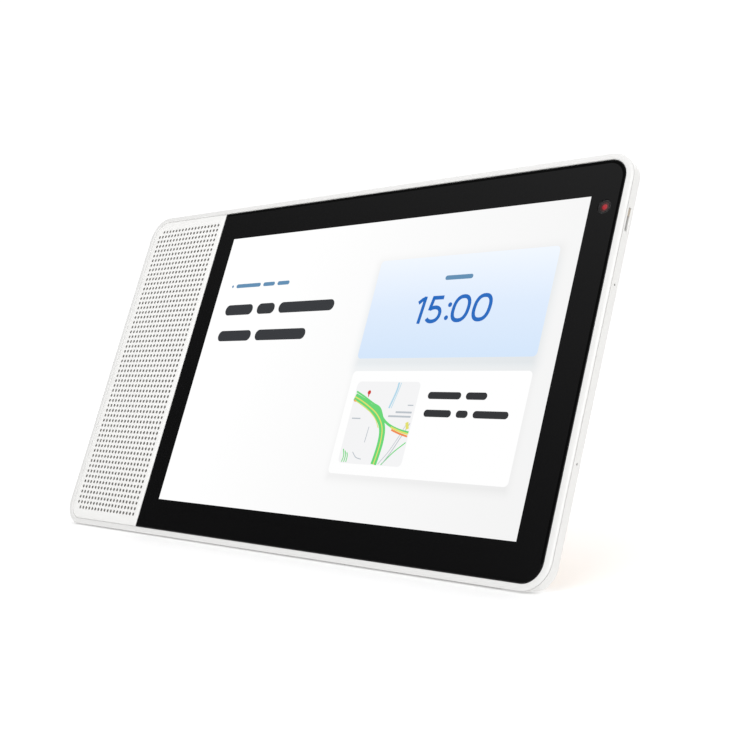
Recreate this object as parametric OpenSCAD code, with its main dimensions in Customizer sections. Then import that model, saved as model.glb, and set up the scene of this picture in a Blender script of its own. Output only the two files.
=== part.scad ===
// Countertop smart display: a leaning screen slab with a speaker at one end and a wedge foot behind it.
// Millimetres. +X runs to the right along the front, +Y to the rear, +Z up; the origin is under the middle
// of the whole thing on the table. Most pieces are drawn in the slab's own axes: x to the right, y up the
// screen, z out of the glass, with z = 0 on the face of the glass.

/* [Overall] */
// Width of the front
slab_w = 311.4; // [255:0.1:380]
// Height of the front, measured up the screen
slab_h = 171.8; // [140:0.1:210]
// Depth that the stand takes on the table
depth_all = 136; // [112:0.5:165]
// Angle that the screen leans back from upright
lean = 20; // [14:0.5:24]
// Angle that the screen leans back when it stands on its speaker end
end_lean = 12; // [6:0.5:15]
// Corner radius of the front
corner_r = 12; // [9:0.5:16]

/* [Front face] */
// Width of the white rim at the two ends
rim_w = 3.4; // [2.8:0.1:5]
// Width of the white rim above and below them
rim_h = 2.7; // [2.6:0.1:5]
// Height of the rim's rounded crest in front of the glass
rim_rise = 0.35; // [0.2:0.05:0.5]
// Width of the speaker grille
grille_w = 59.4; // [54:0.1:72]
// Gap between the grille and the glass
face_gap = 0.15; // [0.1:0.05:0.3]
// Black border of the glass at the grille side
border_left = 12.45; // [10:0.05:16]
// Black border of the glass at the camera side
border_right = 14.05; // [13:0.05:18]
// Black border of the glass above the picture
border_top = 15.05; // [12:0.05:20]
// Black border of the glass below the picture
border_bottom = 14.65; // [12:0.05:20]
// Thickness of the cover glass and of the grille plate
face_t = 1.1; // [0.8:0.05:1.2]

/* [Grille holes] */
// Distance from one column of holes to the next
hole_pitch_x = 2.8; // [2.6:0.05:4]
// Distance from one row of holes to the next
hole_pitch_y = 2.77; // [2.6:0.01:4]
// Diameter of a hole
hole_d = 1.4; // [1:0.05:1.8]
// Plain margin of the plate round the holes, across
hole_margin_x = 5.6; // [4:0.1:8]
// Plain margin of the plate round the holes, up and down
hole_margin_y = 5.6; // [4:0.1:8]

/* [Slab] */
// Thickness of the slab at its edge
edge_t = 5; // [4.8:0.1:6]
// Depth behind the face at which the flat underside begins
sole_in = 0.6; // [0.5:0.1:2]
// Thickness of the slab in the middle
mid_t = 13; // [12.5:0.1:16]
// Distance over which the back crowns from the edge to the middle
crown_w = 24; // [18:1:28]
// Thickness of the rear shell's side walls
wall_t = 2; // [1.6:0.1:2.2]
// Depth of the rear shell's back wall, measured straight through the slab
back_t = 1.8; // [1.5:0.1:2.2]
// Thickness of the wooden back panel
panel_t = 0.9; // [0.6:0.1:1.1]
// White border left round the wooden back panel
panel_border = 6; // [5:0.5:12]

/* [Wedge] */
// Distance from the camera side at which the wedge has run out
sweep_end = 38; // [28:1:60]
// How hollow the wedge sweeps, 2 and up
sweep_power = 2.2; // [2:0.1:2.6]
// Strip below the top edge that stays free of the wedge
top_in = 8; // [6:0.5:12]
// Thickness of the end cap
cap_t = 3; // [2.5:0.1:4]
// Height that the rubber feet stand proud
foot_h = 0.6; // [0.6:0.1:1.5]

/* [Camera and shutter] */
// Camera's distance from the inner edge of the rim
camera_in = 7.05; // [6.8:0.05:8.5]
// Camera's distance below the top inner edge of the rim
camera_down = 20.05; // [14:0.05:30]
// Diameter of the camera window
camera_d = 6; // [5:0.1:6.2]
// Travel of the privacy shutter
shutter_travel = 6; // [5:0.1:7]
// Length of the shutter knob
knob_l = 3.1; // [2.6:0.1:4]
// Width of the shutter slot across the edge
slot_w = 1.5; // [1.3:0.1:1.6]

/* [Buttons] */
// Length of a volume button
button_l = 10; // [8:0.5:12]
// Width of the buttons and of the mute switch
button_w = 1.6; // [1.4:0.1:1.8]
// Height that the buttons stand proud of the top edge
button_rise = 0.5; // [0.4:0.05:0.8]
// Travel of a volume button
button_travel = 0.35; // [0.25:0.05:0.35]
// Travel of the mute switch
mute_travel = 2; // [1.5:0.1:2.5]

/* [Speaker] */
// Outside diameter of the driver's flange
driver_d = 54; // [48:0.5:56]
// Travel of the cone each way
cone_travel = 1.2; // [0.8:0.1:1.3]
// Travel of a passive radiator each way
radiator_travel = 1; // [0.8:0.1:1.3]

/* [Electronics] */
// Width of the main board
board_w = 118; // [100:1:130]
// Height of the main board
board_h = 74; // [60:1:84]
// Diameter of the power inlet's opening
inlet_d = 5.7; // [5.5:0.1:6.5]

/* [Hidden] */
$fn = 48;
// Fine gaps between neighbouring pieces: sliding, fitted and glued
slide_gap = 0.15;
fit_gap = 0.1;
glue_t = 0.15;
big = 400;

panel_w = slab_w - 2 * rim_w;
panel_h = slab_h - 2 * rim_h;
glass_x0 = -panel_w / 2 + grille_w + face_gap;
glass_x1 = panel_w / 2;
grille_x1 = -panel_w / 2 + grille_w;
pane_r = corner_r - rim_w;
active_x0 = glass_x0 + border_left;
active_x1 = glass_x1 - border_right;
active_y0 = -panel_h / 2 + border_bottom;
active_y1 = panel_h / 2 - border_top;
cell_lip = 3;
cell_lip_low = 5.5;
cell_x0 = active_x0 - cell_lip;
cell_x1 = active_x1 + cell_lip;
cell_y0 = active_y0 - cell_lip_low;
cell_y1 = active_y1 + cell_lip;

// Depths behind the face of the glass, front to back
seam_z = 0.3;
glue_z = face_t + glue_t;
cell_t = 0.8;
guide_t = 0.9;
tray_t = 0.3;
guide_z = glue_z + cell_t;
tray_z = guide_z + guide_t;
ledge_z = 3.3;
plate_z = tray_z + tray_t + fit_gap;
plate_t = 0.8;
standoff = 0.9;
board_z = plate_z + plate_t + standoff;
board_t = 1;
can_t = 1.6;
plug_gap = 0.15;
plug_in = wall_t + plug_gap;

// The wedge behind the slab
skin_in = panel_t + back_t;
ease = 20;
sweep_x = slab_w / 2 - sweep_end;
corner_depth = (depth_all - rim_rise * cos(lean) + sole_in * tan(lean) * sin(lean)) * cos(lean);
corner_y = -slab_h / 2 + (corner_depth - sole_in) * tan(lean);
corner_x = -slab_w / 2 + (corner_depth - edge_t) * tan(end_lean);
slope_0 = (corner_depth - mid_t) / grow(slab_h / 2 - top_in - corner_y) / sweep(corner_x);

// Where the slab stands: the lowest corner of its edge is one foot above the table
rim_steps = 6;
front_most = min([for (i = [0:rim_steps]) -(slab_h / 2 - rim_inset(i)) * sin(lean) - rim_z(i) * cos(lean)]);
rear_most = corner_y * sin(lean) + corner_depth * cos(lean);
shift_y = -(front_most + rear_most) / 2;
shift_z = slab_h / 2 * cos(lean) + sole_in * sin(lean) + foot_h;

// Camera, shutter and side openings
camera_x = panel_w / 2 - camera_in;
camera_y = panel_h / 2 - camera_down;
blade_z = glue_z + 0.05;
blade_t = 0.4;
blade_h = 6.2;
blade_w = 6.2;
knob_top = camera_y - 0.65;
sensor_x = camera_x;
sensor_y = camera_y - 15;
slot_z = 2.5;
knob_w = slot_w - 2 * slide_gap;
slot_y0 = knob_top - knob_l - shutter_travel - 0.2;
slot_y1 = knob_top + 0.2;
mic_d = 0.9;
mic_y = [0.365 * slab_h / 2, -0.441 * slab_h / 2];
mic_x = [-0.18 * slab_w, 0.22 * slab_w];
mic_board = [3.2, 4.6, 0.8];
mic_in = 6;
mic_z = ledge_z + 0.75;

// Speaker
box_x0 = -slab_w / 2 + 6.5;
box_x1 = grille_x1 - 1.5;
driver_x = (box_x0 + box_x1) / 2;
box_y0 = -slab_h / 2 + 10.5;
box_y1 = slab_h / 2 - 20.6;
driver_y = (box_y0 + box_y1) / 2;
baffle_z = 4.6;
baffle_t = 1.8;
box_wall = 2;
flange_t = 0.8;
cone_r = driver_d / 2 - 7;
radiator_gap = 4;
radiator_h = (box_y1 - box_y0 - driver_d - 4 * radiator_gap) / 2;
radiator_w = box_x1 - box_x0 - 2 * radiator_gap - 2;
radiator_off = driver_d / 2 + radiator_gap + radiator_h / 2;
roll_w = 4;
knee_y = -0.173 * slab_h;
sole_y = knee_y - 14;

// Buttons on the top edge above the speaker
volume_x = [-slab_w / 2 + 25, -slab_w / 2 + 39];
mute_x = -slab_w / 2 + 54;
mute_l = 4;
button_z = 2.8;
flange_y = slab_h / 2 - plug_in - 0.1;
notch_x0 = volume_x[0] - button_l / 2 - 4;
notch_x1 = mute_x + mute_l / 2 + 5;
notch_y0 = slab_h / 2 - 8.6;

// Power inlet in the back of the wedge
inlet_x = -10;
inlet_z = 15;
inlet_y = back_y(inlet_x, inlet_z);
pocket_d = 12;
pocket_depth = 5;

// Main board
board_x = (active_x0 + active_x1) / 2 + 8;
board_y = -6;
plate_in = 6;

// ---- Shape of the back -------------------------------------------------------------------------------

// Run of the wedge's back below the strip at the top edge, eased in
function grow(u) = u <= 0 ? 0 : u < ease ? u * u / (2 * ease) : u - ease / 2;
// Share of the wedge's steepness left at x
function sweep(x) = pow(max(0, (sweep_x - x) / (sweep_x + slab_w / 2)), sweep_power);
// Share of the crown reached at a distance u from the edge
function crown(u) = 1 - pow(1 - min(1, max(0, u / crown_w)), 2);
// Depth of the back surface behind the glass
function depth_at(x, y) = edge_t
    + (mid_t - edge_t) * crown(slab_w / 2 - x) * crown(slab_h / 2 - abs(y))
    + slope_0 * sweep(x) * grow(slab_h / 2 - top_in - y);
// Depth at which the back meets the underside, at x
function base_depth(x) = (mid_t + slope_0 * sweep(x) * (slab_h - top_in - ease / 2 + sole_in * tan(lean)))
    / (1 + slope_0 * sweep(x) * tan(lean));
// Table position of the underside's rear edge, at x
function base_y(x) = shift_y + (-slab_h / 2 + (base_depth(x) - sole_in) * tan(lean)) * sin(lean)
    + base_depth(x) * cos(lean);
// Table position of the back surface at x and at a height z above the table
function back_run(x) = mid_t + slope_0 * sweep(x) * (slab_h / 2 - top_in - ease / 2);
function back_slab_y(x, z) = (z - shift_z + back_run(x) * sin(lean))
    / (cos(lean) + slope_0 * sweep(x) * sin(lean));
function back_y(x, z) = shift_y + back_slab_y(x, z) * sin(lean)
    + (back_run(x) - slope_0 * sweep(x) * back_slab_y(x, z)) * cos(lean);

// The rim's crest: inset from the edge and height, step by step
function rim_inset(i) = rim_w / 2 * (1 - cos(90 * i / rim_steps));
function rim_z(i) = -seam_z + (rim_rise + seam_z) * sin(90 * i / rim_steps);

// Everything in front of the back surface, moved forward by cut
module body_of_back(cut) {
    nx = 24;
    ny = 12;
    front = 6;
    hx = slab_w / 2 + 1;
    hy = slab_h / 2 + 1;
    xs = [for (i = [0:nx]) hx * sin(180 * i / nx - 90)];
    ys = [for (j = [0:ny]) hy * sin(180 * j / ny - 90)];
    back = [for (i = [0:nx], j = [0:ny]) [xs[i], ys[j], -(depth_at(xs[i], ys[j]) - cut)]];
    edge = concat(
        [for (i = [0:nx - 1]) i * (ny + 1)], [for (j = [0:ny - 1]) nx * (ny + 1) + j],
        [for (i = [nx:-1:1]) i * (ny + 1) + ny], [for (j = [ny:-1:1]) j]);
    ne = len(edge);
    lid = [for (k = edge) [back[k][0], back[k][1], front]];
    n = len(back);
    polyhedron(
        points = concat(back, lid, [[0, 0, front]]),
        faces = concat(
            [for (i = [0:nx - 1], j = [0:ny - 1], half = [0, 1]) let (a = i * (ny + 1) + j, b = a + ny + 1)
                half == 0 ? [a, b, b + 1] : [a, b + 1, a + 1]],
            [for (k = [0:ne - 1], half = [0, 1]) let (m = (k + 1) % ne)
                half == 0 ? [edge[k], n + k, n + m] : [edge[k], n + m, edge[m]]],
            [for (k = [0:ne - 1]) [n + ne, n + (k + 1) % ne, n + k]]));
}

// ---- Placing -----------------------------------------------------------------------------------------

// Slab axes, from the table's axes
module slab() translate([0, shift_y, shift_z]) rotate([90 - lean, 0, 0]) children();
// The table's axes, inside slab()
module table() rotate([lean - 90, 0, 0]) translate([0, -shift_y, -shift_z]) children();
// Everything above the underside by up, in slab axes
module above_base(up) table() translate([-big / 2, -big / 2, foot_h + up]) cube(big);
// Axes of the speaker end's face: x inwards, z forwards
module end_face() translate([-slab_w / 2, 0, -edge_t]) rotate([0, -end_lean, 0]) children();

module rounded(w, h, r) {
    square([w - 2 * r, h], center = true);
    square([w, h - 2 * r], center = true);
    for (sx = [-1, 1], sy = [-1, 1]) translate([sx * (w / 2 - r), sy * (h / 2 - r)]) circle(r);
}
// The slab's outline, moved inwards, from depth a to depth b
module outline(inset, a, b) translate([0, 0, -b]) linear_extrude(b - a)
    rounded(slab_w - 2 * inset, slab_h - 2 * inset, max(1, corner_r - inset));
// The outline of the grille and the glass inside the rim, moved inwards, from depth a to depth b
module pane(inset, a, b) translate([0, 0, -b]) linear_extrude(b - a)
    rounded(panel_w - 2 * inset, panel_h - 2 * inset, pane_r - inset);
module plate(x0, x1, y0, y1, a, b) translate([x0, y0, -b]) cube([x1 - x0, y1 - y0, b - a]);
module disc(x, y, d, a, b) translate([x, y, -b]) cylinder(d = d, h = b - a);

// A round lead along a run of points
module lead(pts, d) {
    sides = 8;
    n = len(pts);
    dirs = [for (i = [0:n - 1]) let (v = pts[min(i + 1, n - 1)] - pts[max(i - 1, 0)]) v / norm(v)];
    across = [for (v = dirs) let (c = cross(v, [0.2, 0.3, 1])) c / norm(c)];
    rings = [for (i = [0:n - 1], k = [0:sides - 1]) let (a = 360 * k / sides)
        pts[i] + d / 2 * (cos(a) * across[i] + sin(a) * cross(dirs[i], across[i]))];
    polyhedron(points = rings, faces = concat(
        [for (i = [0:n - 2], k = [0:sides - 1], half = [0, 1])
            let (a = i * sides + k, b = i * sides + (k + 1) % sides)
            half == 0 ? [a, b + sides, b] : [a, a + sides, b + sides]],
        [[for (k = [0:sides - 1]) k]],
        [[for (k = [sides - 1:-1:0]) (n - 1) * sides + k]]));
}

module screw(x, y, a, head_d, length) {
    disc(x, y, head_d, a, a + 0.9);
    disc(x, y, head_d / 2, a - length, a);
}

// ---- Front -------------------------------------------------------------------------------------------

plate_screw_at = [
    for (sy = [-1, 1]) [glass_x1 - 5.6, sy * (panel_h / 2 - 9.2)],
    for (x = [glass_x0 + 3, (glass_x0 + glass_x1) / 2], sy = [-1, 1]) [x, sy * (panel_h / 2 - 5)]];
screw_d = 2;

module front_bezel() color("white") slab() difference() {
    union() {
        hull() for (i = [0:rim_steps]) translate([0, 0, rim_z(i)]) linear_extrude(0.01)
            rounded(slab_w - 2 * rim_inset(i), slab_h - 2 * rim_inset(i), corner_r - rim_inset(i));
        intersection() {
            outline(plug_in, seam_z, ledge_z);
            above_base(wall_t + 0.2 + plug_gap);
        }
    }
    pane(-fit_gap, -big, glue_z);
    plate(cell_x0 - fit_gap, cell_x1 + fit_gap, cell_y0 - fit_gap, cell_y1 + fit_gap, 0, big);
    plate(-panel_w / 2 + 3.3, grille_x1 - 2, -panel_h / 2 + 3.5, panel_h / 2 - 3.5, 0, big);
    plate(notch_x0, notch_x1, notch_y0, slab_h, button_z - button_w / 2 - 0.25, big);
    disc(camera_x, camera_y, camera_d + 0.2, 0, big);
    plate(sensor_x - 1.4, sensor_x + 1.4, sensor_y - 1.4, sensor_y + 1.4, 0, glue_z + 0.8);
    shutter_path(slide_gap, big);
    for (y = mic_y) {
        plate(glass_x1 - mic_in - mic_d, slab_w, y - 0.6, y + 0.6, slot_z - 0.6, big);
        plate(glass_x1 - mic_in - 2.6, glass_x1 - mic_in + 1.6, y - 2.7, y + 2.7, 2.9, big);
    }
    for (x = mic_x) {
        plate(x - 0.6, x + 0.6, panel_h / 2 - mic_in - mic_d, slab_h, slot_z - 0.6, big);
        plate(x - 2.7, x + 2.7, panel_h / 2 - mic_in - 2.6, panel_h / 2 - mic_in + 1.6, 2.9, big);
    }
    for (p = plate_screw_at) disc(p[0], p[1], screw_d + 0.05, 1.9, big);
}

// Room for the shutter, its arm and its knob
module shutter_path(gap, back) {
    plate(camera_x - blade_w / 2 - gap, slab_w / 2 - wall_t + gap, camera_y - blade_h / 2 - shutter_travel - gap,
        camera_y + blade_h / 2 + gap, 0, blade_z + blade_t + gap);
    plate(slab_w / 2 - plug_in - 1.5, slab_w, slot_y0, slot_y1, 0.5, min(back, slot_z + 1.2));
}

module grille_plate() color("white") {
    columns = floor((grille_w - 2 * hole_margin_x) / hole_pitch_x);
    rows = floor((panel_h - 2 * hole_margin_y) / hole_pitch_y);
    x0 = -panel_w / 2 + grille_w / 2 - columns * hole_pitch_x / 2;
    y0 = -rows * hole_pitch_y / 2;
    slab() difference() {
        intersection() {
            pane(0, 0, face_t);
            plate(-slab_w, grille_x1, -slab_h, slab_h, 0, face_t);
        }
        for (i = [0:columns], j = [0:rows])
            if (i > 0 || (j > 0 && j < rows))
                disc(x0 + i * hole_pitch_x, y0 + j * hole_pitch_y, hole_d, -1, face_t + 1);
    }
}

module grille_cloth() color("dimgray") slab() intersection() {
    pane(0.5, face_t, glue_z);
    plate(-slab_w, grille_x1 - 0.3, -slab_h, slab_h, face_t, glue_z);
}

module cover_glass() color([0.05, 0.05, 0.06]) slab() intersection() {
    pane(0, 0, face_t);
    plate(glass_x0, slab_w, -slab_h, slab_h, 0, face_t);
}

module glass_adhesive() color("black") slab() difference() {
    intersection() {
        pane(0.6, face_t, glue_z);
        plate(glass_x0 + 0.6, slab_w, -slab_h, slab_h, face_t, glue_z);
    }
    plate(cell_x0 - 2, cell_x1 - 2, cell_y0 - 1, cell_y1 + 1, 0, big);
    plate(active_x1, slab_w / 2 - 5, cell_y0 - 1, cell_y1 + 1, 0, big);
}

module optical_bond() color([0.8, 0.9, 1, 0.4]) slab()
    plate(active_x0 - 1, active_x1 + 1, active_y0 - 1, active_y1 + 1, face_t, glue_z);
module lcd_cell() color("whitesmoke") slab() plate(cell_x0, cell_x1, cell_y0, cell_y1, glue_z, guide_z);
module light_guide() color("white") slab() plate(cell_x0 + tray_t + 0.05, cell_x1 - tray_t - 0.05,
    cell_y0 + tray_t + 2.5, cell_y1 - tray_t - 0.05, guide_z, tray_z);
module led_strip() color("khaki") slab() plate(cell_x0 + 6, cell_x1 - 6, cell_y0 + tray_t + 0.3,
    cell_y0 + tray_t + 2.3, guide_z + 0.1, tray_z);
module backlight_tray() color("silver") slab() difference() {
    plate(cell_x0, cell_x1, cell_y0, cell_y1, guide_z, tray_z + tray_t);
    plate(cell_x0 + tray_t, cell_x1 - tray_t, cell_y0 + tray_t, cell_y1 - tray_t, 0, tray_z);
}
driver_x0 = (cell_x0 + cell_x1) / 2 - 40;
ribbon_x = (cell_x0 + cell_x1) / 2;
ribbon_t = 0.2;
module display_driver() color("darkgreen") slab() {
    plate(driver_x0, driver_x0 + 80, -panel_h / 2 + 9.5, cell_y0 + 9, plate_z + plate_t, plate_z + plate_t + 0.8);
    for (i = [0:4]) plate(driver_x0 + 8 + 14 * i, driver_x0 + 14 + 14 * i, cell_y0 + 2, cell_y0 + 6,
        plate_z + plate_t + 0.8, plate_z + plate_t + 1.6);
}
module display_ribbon() color("goldenrod") slab() plate(ribbon_x - 8, ribbon_x + 8, cell_y0 + 7.5,
    board_y - board_h / 2 + 4, plate_z + plate_t + 0.8, plate_z + plate_t + 0.8 + ribbon_t / 2);

// ---- Camera and shutter ------------------------------------------------------------------------------

camera_z = blade_z + blade_t + 0.15;
module camera_sleeve() color("black") slab() difference() {
    disc(camera_x, camera_y, camera_d, camera_z, plate_z + plate_t);
    disc(camera_x, camera_y, camera_d - 1.2, 0, big);
}
module camera_lens() color([0.2, 0.2, 0.3]) slab() intersection() {
    disc(camera_x, camera_y, camera_d - 2.6, camera_z + 0.2, camera_z + 0.9);
    translate([camera_x, camera_y, -camera_z - 3.7]) sphere(r = 3.5);
}
module camera_module() color("black") slab() difference() {
    disc(camera_x, camera_y, camera_d - 1.3, camera_z + 0.2, plate_z + plate_t);
    disc(camera_x, camera_y, camera_d - 2.5, 0, camera_z + 0.95);
}
module camera_board() color("darkgreen") slab()
    plate(camera_x - 9, camera_x + 3, camera_y - 5, camera_y + 5, plate_z + plate_t, plate_z + plate_t + 0.6);
module camera_ribbon() color("goldenrod") slab() plate(camera_x - 8.5, camera_x - 4.5, board_y + board_h / 2 - 8,
    camera_y - 3, plate_z + plate_t + 0.6, plate_z + plate_t + 0.6 + ribbon_t);
module light_sensor() color("black") slab()
    plate(sensor_x - 1.2, sensor_x + 1.2, sensor_y - 1.2, sensor_y + 1.2, glue_z, glue_z + 0.6);

arm_y0 = camera_y - blade_h / 2;
arm_y1 = knob_top - 0.3;
module shutter_blade() color("dimgray") slab() {
    plate(camera_x - blade_w / 2, camera_x + blade_w / 2, camera_y - blade_h / 2, camera_y + blade_h / 2,
        blade_z, blade_z + blade_t);
    plate(camera_x, slab_w / 2 - wall_t - 0.4, arm_y0, arm_y1, blade_z, blade_z + blade_t);
}
module shutter_mark() color("firebrick") slab() disc(camera_x, camera_y, 1.9, blade_z - 0.04, blade_z);
module shutter_knob() color("tan") slab() {
    plate(slab_w / 2 - wall_t - 1.4, slab_w / 2 - wall_t - 0.4, arm_y0, arm_y1,
        blade_z + blade_t, slot_z + knob_w / 2);
    plate(slab_w / 2 - wall_t - 0.4, slab_w / 2 - 0.35, knob_top - knob_l, knob_top,
        slot_z - knob_w / 2, slot_z + knob_w / 2);
}

// ---- Microphones -------------------------------------------------------------------------------------

module side_microphones() color("darkgreen") slab() for (y = mic_y) translate([glass_x1 - mic_in - 0.5, y, -mic_z])
    microphone();
module top_microphones() color("darkgreen") slab() for (x = mic_x) translate([x, panel_h / 2 - mic_in - 0.5, -mic_z])
    rotate(90) microphone();
module microphone() {
    translate([-mic_board[0] / 2, -mic_board[1] / 2, -mic_board[2]]) cube(mic_board);
    translate([-1.2, -1.6, -mic_board[2] - 0.7]) cube([2.4, 3.2, 0.7]);
}
module gasket() translate([0, 0, -mic_z]) difference() {
    translate([-mic_board[0] / 2, -mic_board[1] / 2, 0]) cube([mic_board[0], mic_board[1], mic_z - 3]);
    cylinder(d = mic_d, h = big, center = true);
}
module microphone_gaskets() color("black") slab() {
    for (y = mic_y) translate([glass_x1 - mic_in - 0.5, y, 0]) gasket();
    for (x = mic_x) translate([x, panel_h / 2 - mic_in - 0.5, 0]) rotate(90) gasket();
}

// ---- Middle plate and electronics --------------------------------------------------------------------

board_screw_at = [for (sx = [-1, 1], sy = [-1, 1]) [board_x + sx * (board_w / 2 - 4), board_y + sy * (board_h / 2 - 4)]];
module mid_plate() color("silver") slab() difference() {
    union() {
        intersection() {
            outline(plate_in, plate_z, plate_z + plate_t);
            plate(grille_x1 - 1, slab_w, -slab_h, slab_h, plate_z, plate_z + plate_t);
        }
        for (p = board_screw_at) disc(p[0], p[1], 4, plate_z + plate_t, board_z);
    }
    disc(camera_x, camera_y, camera_d + 0.2, 0, big);
    for (y = mic_y) plate(glass_x1 - mic_in - 3, slab_w, y - 3, y + 3, 0, big);
    for (x = mic_x) plate(x - 3, x + 3, panel_h / 2 - mic_in - 3, slab_h, 0, big);
    plate(grille_x1 - 2, notch_x1 + 1, notch_y0 - 1, slab_h, 0, big);
    for (p = board_screw_at) disc(p[0], p[1], screw_d + 0.05, plate_z + 0.2, big);
    for (p = plate_screw_at) disc(p[0], p[1], screw_d + 0.05, 0, big);
}
module plate_screws() color("dimgray") slab() for (p = plate_screw_at)
    screw(p[0], p[1], plate_z + plate_t, 2 * screw_d, plate_z + plate_t - 2);
module main_board() color("darkgreen") slab() difference() {
    plate(board_x - board_w / 2, board_x + board_w / 2, board_y - board_h / 2, board_y + board_h / 2,
        board_z, board_z + board_t);
    for (p = board_screw_at) disc(p[0], p[1], screw_d + 0.05, 0, big);
}
module board_screws() color("dimgray") slab() for (p = board_screw_at)
    screw(p[0], p[1], board_z + board_t, 2 * screw_d, board_z + board_t - plate_z - 0.3);

// Shielded blocks on the board: left, low edge, width and height from the board's centre
can_at = [[-40, -12, 34, 30], [2, -22, 40, 40]];
chip_at = [[-34, -4, 12, 12], [-18, -4, 8, 10], [8, -14, 16, 16], [28, -14, 10, 12], [10, 6, 12, 8]];
chip_t = 1.1;
module on_board(list, a, b) for (c = list)
    plate(board_x + c[0], board_x + c[0] + c[2], board_y + c[1], board_y + c[1] + c[3], a, b);
module main_chips() color("black") slab() on_board(chip_at, board_z + board_t, board_z + board_t + chip_t);
module shield_cans() color("silver") slab() difference() {
    on_board(can_at, board_z + board_t, board_z + board_t + can_t);
    on_board([for (c = can_at) [c[0] + 0.3, c[1] + 0.3, c[2] - 0.6, c[3] - 0.6]], 0, board_z + board_t + can_t - 0.25);
}
pad_t = 0.3;
module thermal_pads() color("lightsteelblue") slab() on_board([for (c = can_at) [c[0] + 4, c[1] + 4, c[2] - 8, c[3] - 8]],
    board_z + board_t + can_t, board_z + board_t + can_t + pad_t);
module heat_spreader() color("silver") slab() plate(board_x - 44, board_x + 46, board_y - 26, board_y + 24,
    board_z + board_t + can_t + pad_t, board_z + board_t + can_t + pad_t + 0.4);
module board_connectors() color("ivory") slab() {
    on_board([[-board_w / 2 + 2, -8, 6, 12], [board_w / 2 - 8, -18, 5, 14], [-6, board_h / 2 - 5, 14, 4],
        [-board_w / 2 + 2, -30, 8, 8]], board_z + board_t, board_z + board_t + 1.4);
}
antenna_x = [board_x - 20, board_x + 35];
antenna_y = panel_h / 2 - 12;
antenna_z = plate_z + plate_t;
module antennas() color("goldenrod") slab() for (x = antenna_x)
    plate(x - 14, x + 14, antenna_y - 4, antenna_y + 3, antenna_z, antenna_z + 0.3);
module antenna_leads() color("dimgray") slab() for (i = [0, 1]) {
    x = antenna_x[i];
    y1 = board_y + 23 - 2 * i;
    lead([for (t = [0:0.1:1]) [x - 6 * sin(180 * t), antenna_y - 4.8 + (y1 + 4 - antenna_y) * t,
        -(antenna_z + 0.7 + (board_z + board_t - antenna_z) * min(1, 3 * t))]], 1);
}

// ---- Buttons -----------------------------------------------------------------------------------------

switch_y = flange_y - 1 - button_travel - 0.15;
sheet_z = button_z + button_w / 2 + 0.2;
module button_board() color("darkgreen") slab() plate(notch_x0 + 1, notch_x1 - 1, notch_y0 + 0.4, switch_y - 0.6,
    sheet_z, sheet_z + 0.6);
module tact_switches() color("silver") slab() for (x = concat(volume_x, [mute_x]))
    plate(x - 2, x + 2, switch_y - 2.2, switch_y, button_z - 0.7, sheet_z);
module button(x, l, rise, grip) slab() {
    plate(x - l / 2, x + l / 2, flange_y - 0.5, slab_h / 2 + rise, button_z - button_w / 2, button_z + button_w / 2);
    plate(x - l / 2 - grip, x + l / 2 + grip, flange_y - 1, flange_y, button_z - 0.7, button_z + 0.7);
}
module volume_down_button() color("whitesmoke") button(volume_x[0], button_l, button_rise, 1.5);
module volume_up_button() color("whitesmoke") button(volume_x[1], button_l, button_rise, 1.5);
module mute_switch() color("whitesmoke") button(mute_x - mute_travel / 2, mute_l, button_rise, 1.2);

// ---- Speaker -----------------------------------------------------------------------------------------

// The box's outline seen from the side, moved in by m: [y, depth]
function box_side(m) = let (
    back = depth_at(box_x1, knee_y) - skin_in - 1.5,
    top_back = depth_at(box_x1, box_y1) - skin_in - 1.5)
    [[box_y0 + m, baffle_z + baffle_t], [box_y1 - m, baffle_z + baffle_t], [box_y1 - m, top_back - 1.2 * m],
     [knee_y + m / 2, back - 1.2 * m], [sole_y, back - 1.2 * m],
     [box_y0 + m, sole_in + (box_y0 + slab_h / 2 - 3.2) / tan(lean) - 2 * m]];
module box_prism(m) translate([box_x1 - m, 0, 0]) rotate([0, -90, 0])
    linear_extrude(box_x1 - box_x0 - 2 * m) polygon([for (p = box_side(m)) [-p[1], p[0]]]);
module speaker_box() color("black") slab() difference() {
    box_prism(0);
    end_zone(cap_t + 0.5);
    difference() {
        box_prism(box_wall);
        end_zone(cap_t + 0.5 + box_wall);
    }
}
module speaker_baffle() color("black") slab() difference() {
    plate(box_x0, box_x1, box_y0, box_y1, baffle_z, baffle_z + baffle_t);
    disc(driver_x, driver_y, driver_d - 5, 0, big);
    for (s = [-1, 1]) radiator_hole(s, 2 * roll_w, 0, big);
}
module radiator_hole(s, inset, a, b) translate([driver_x, driver_y + s * radiator_off, -b]) linear_extrude(b - a)
    rounded(radiator_w - inset, radiator_h - inset, min(radiator_w, radiator_h) / 2 - inset / 2 - 1);
module about_driver() translate([driver_x, driver_y, -baffle_z]) children();

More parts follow.
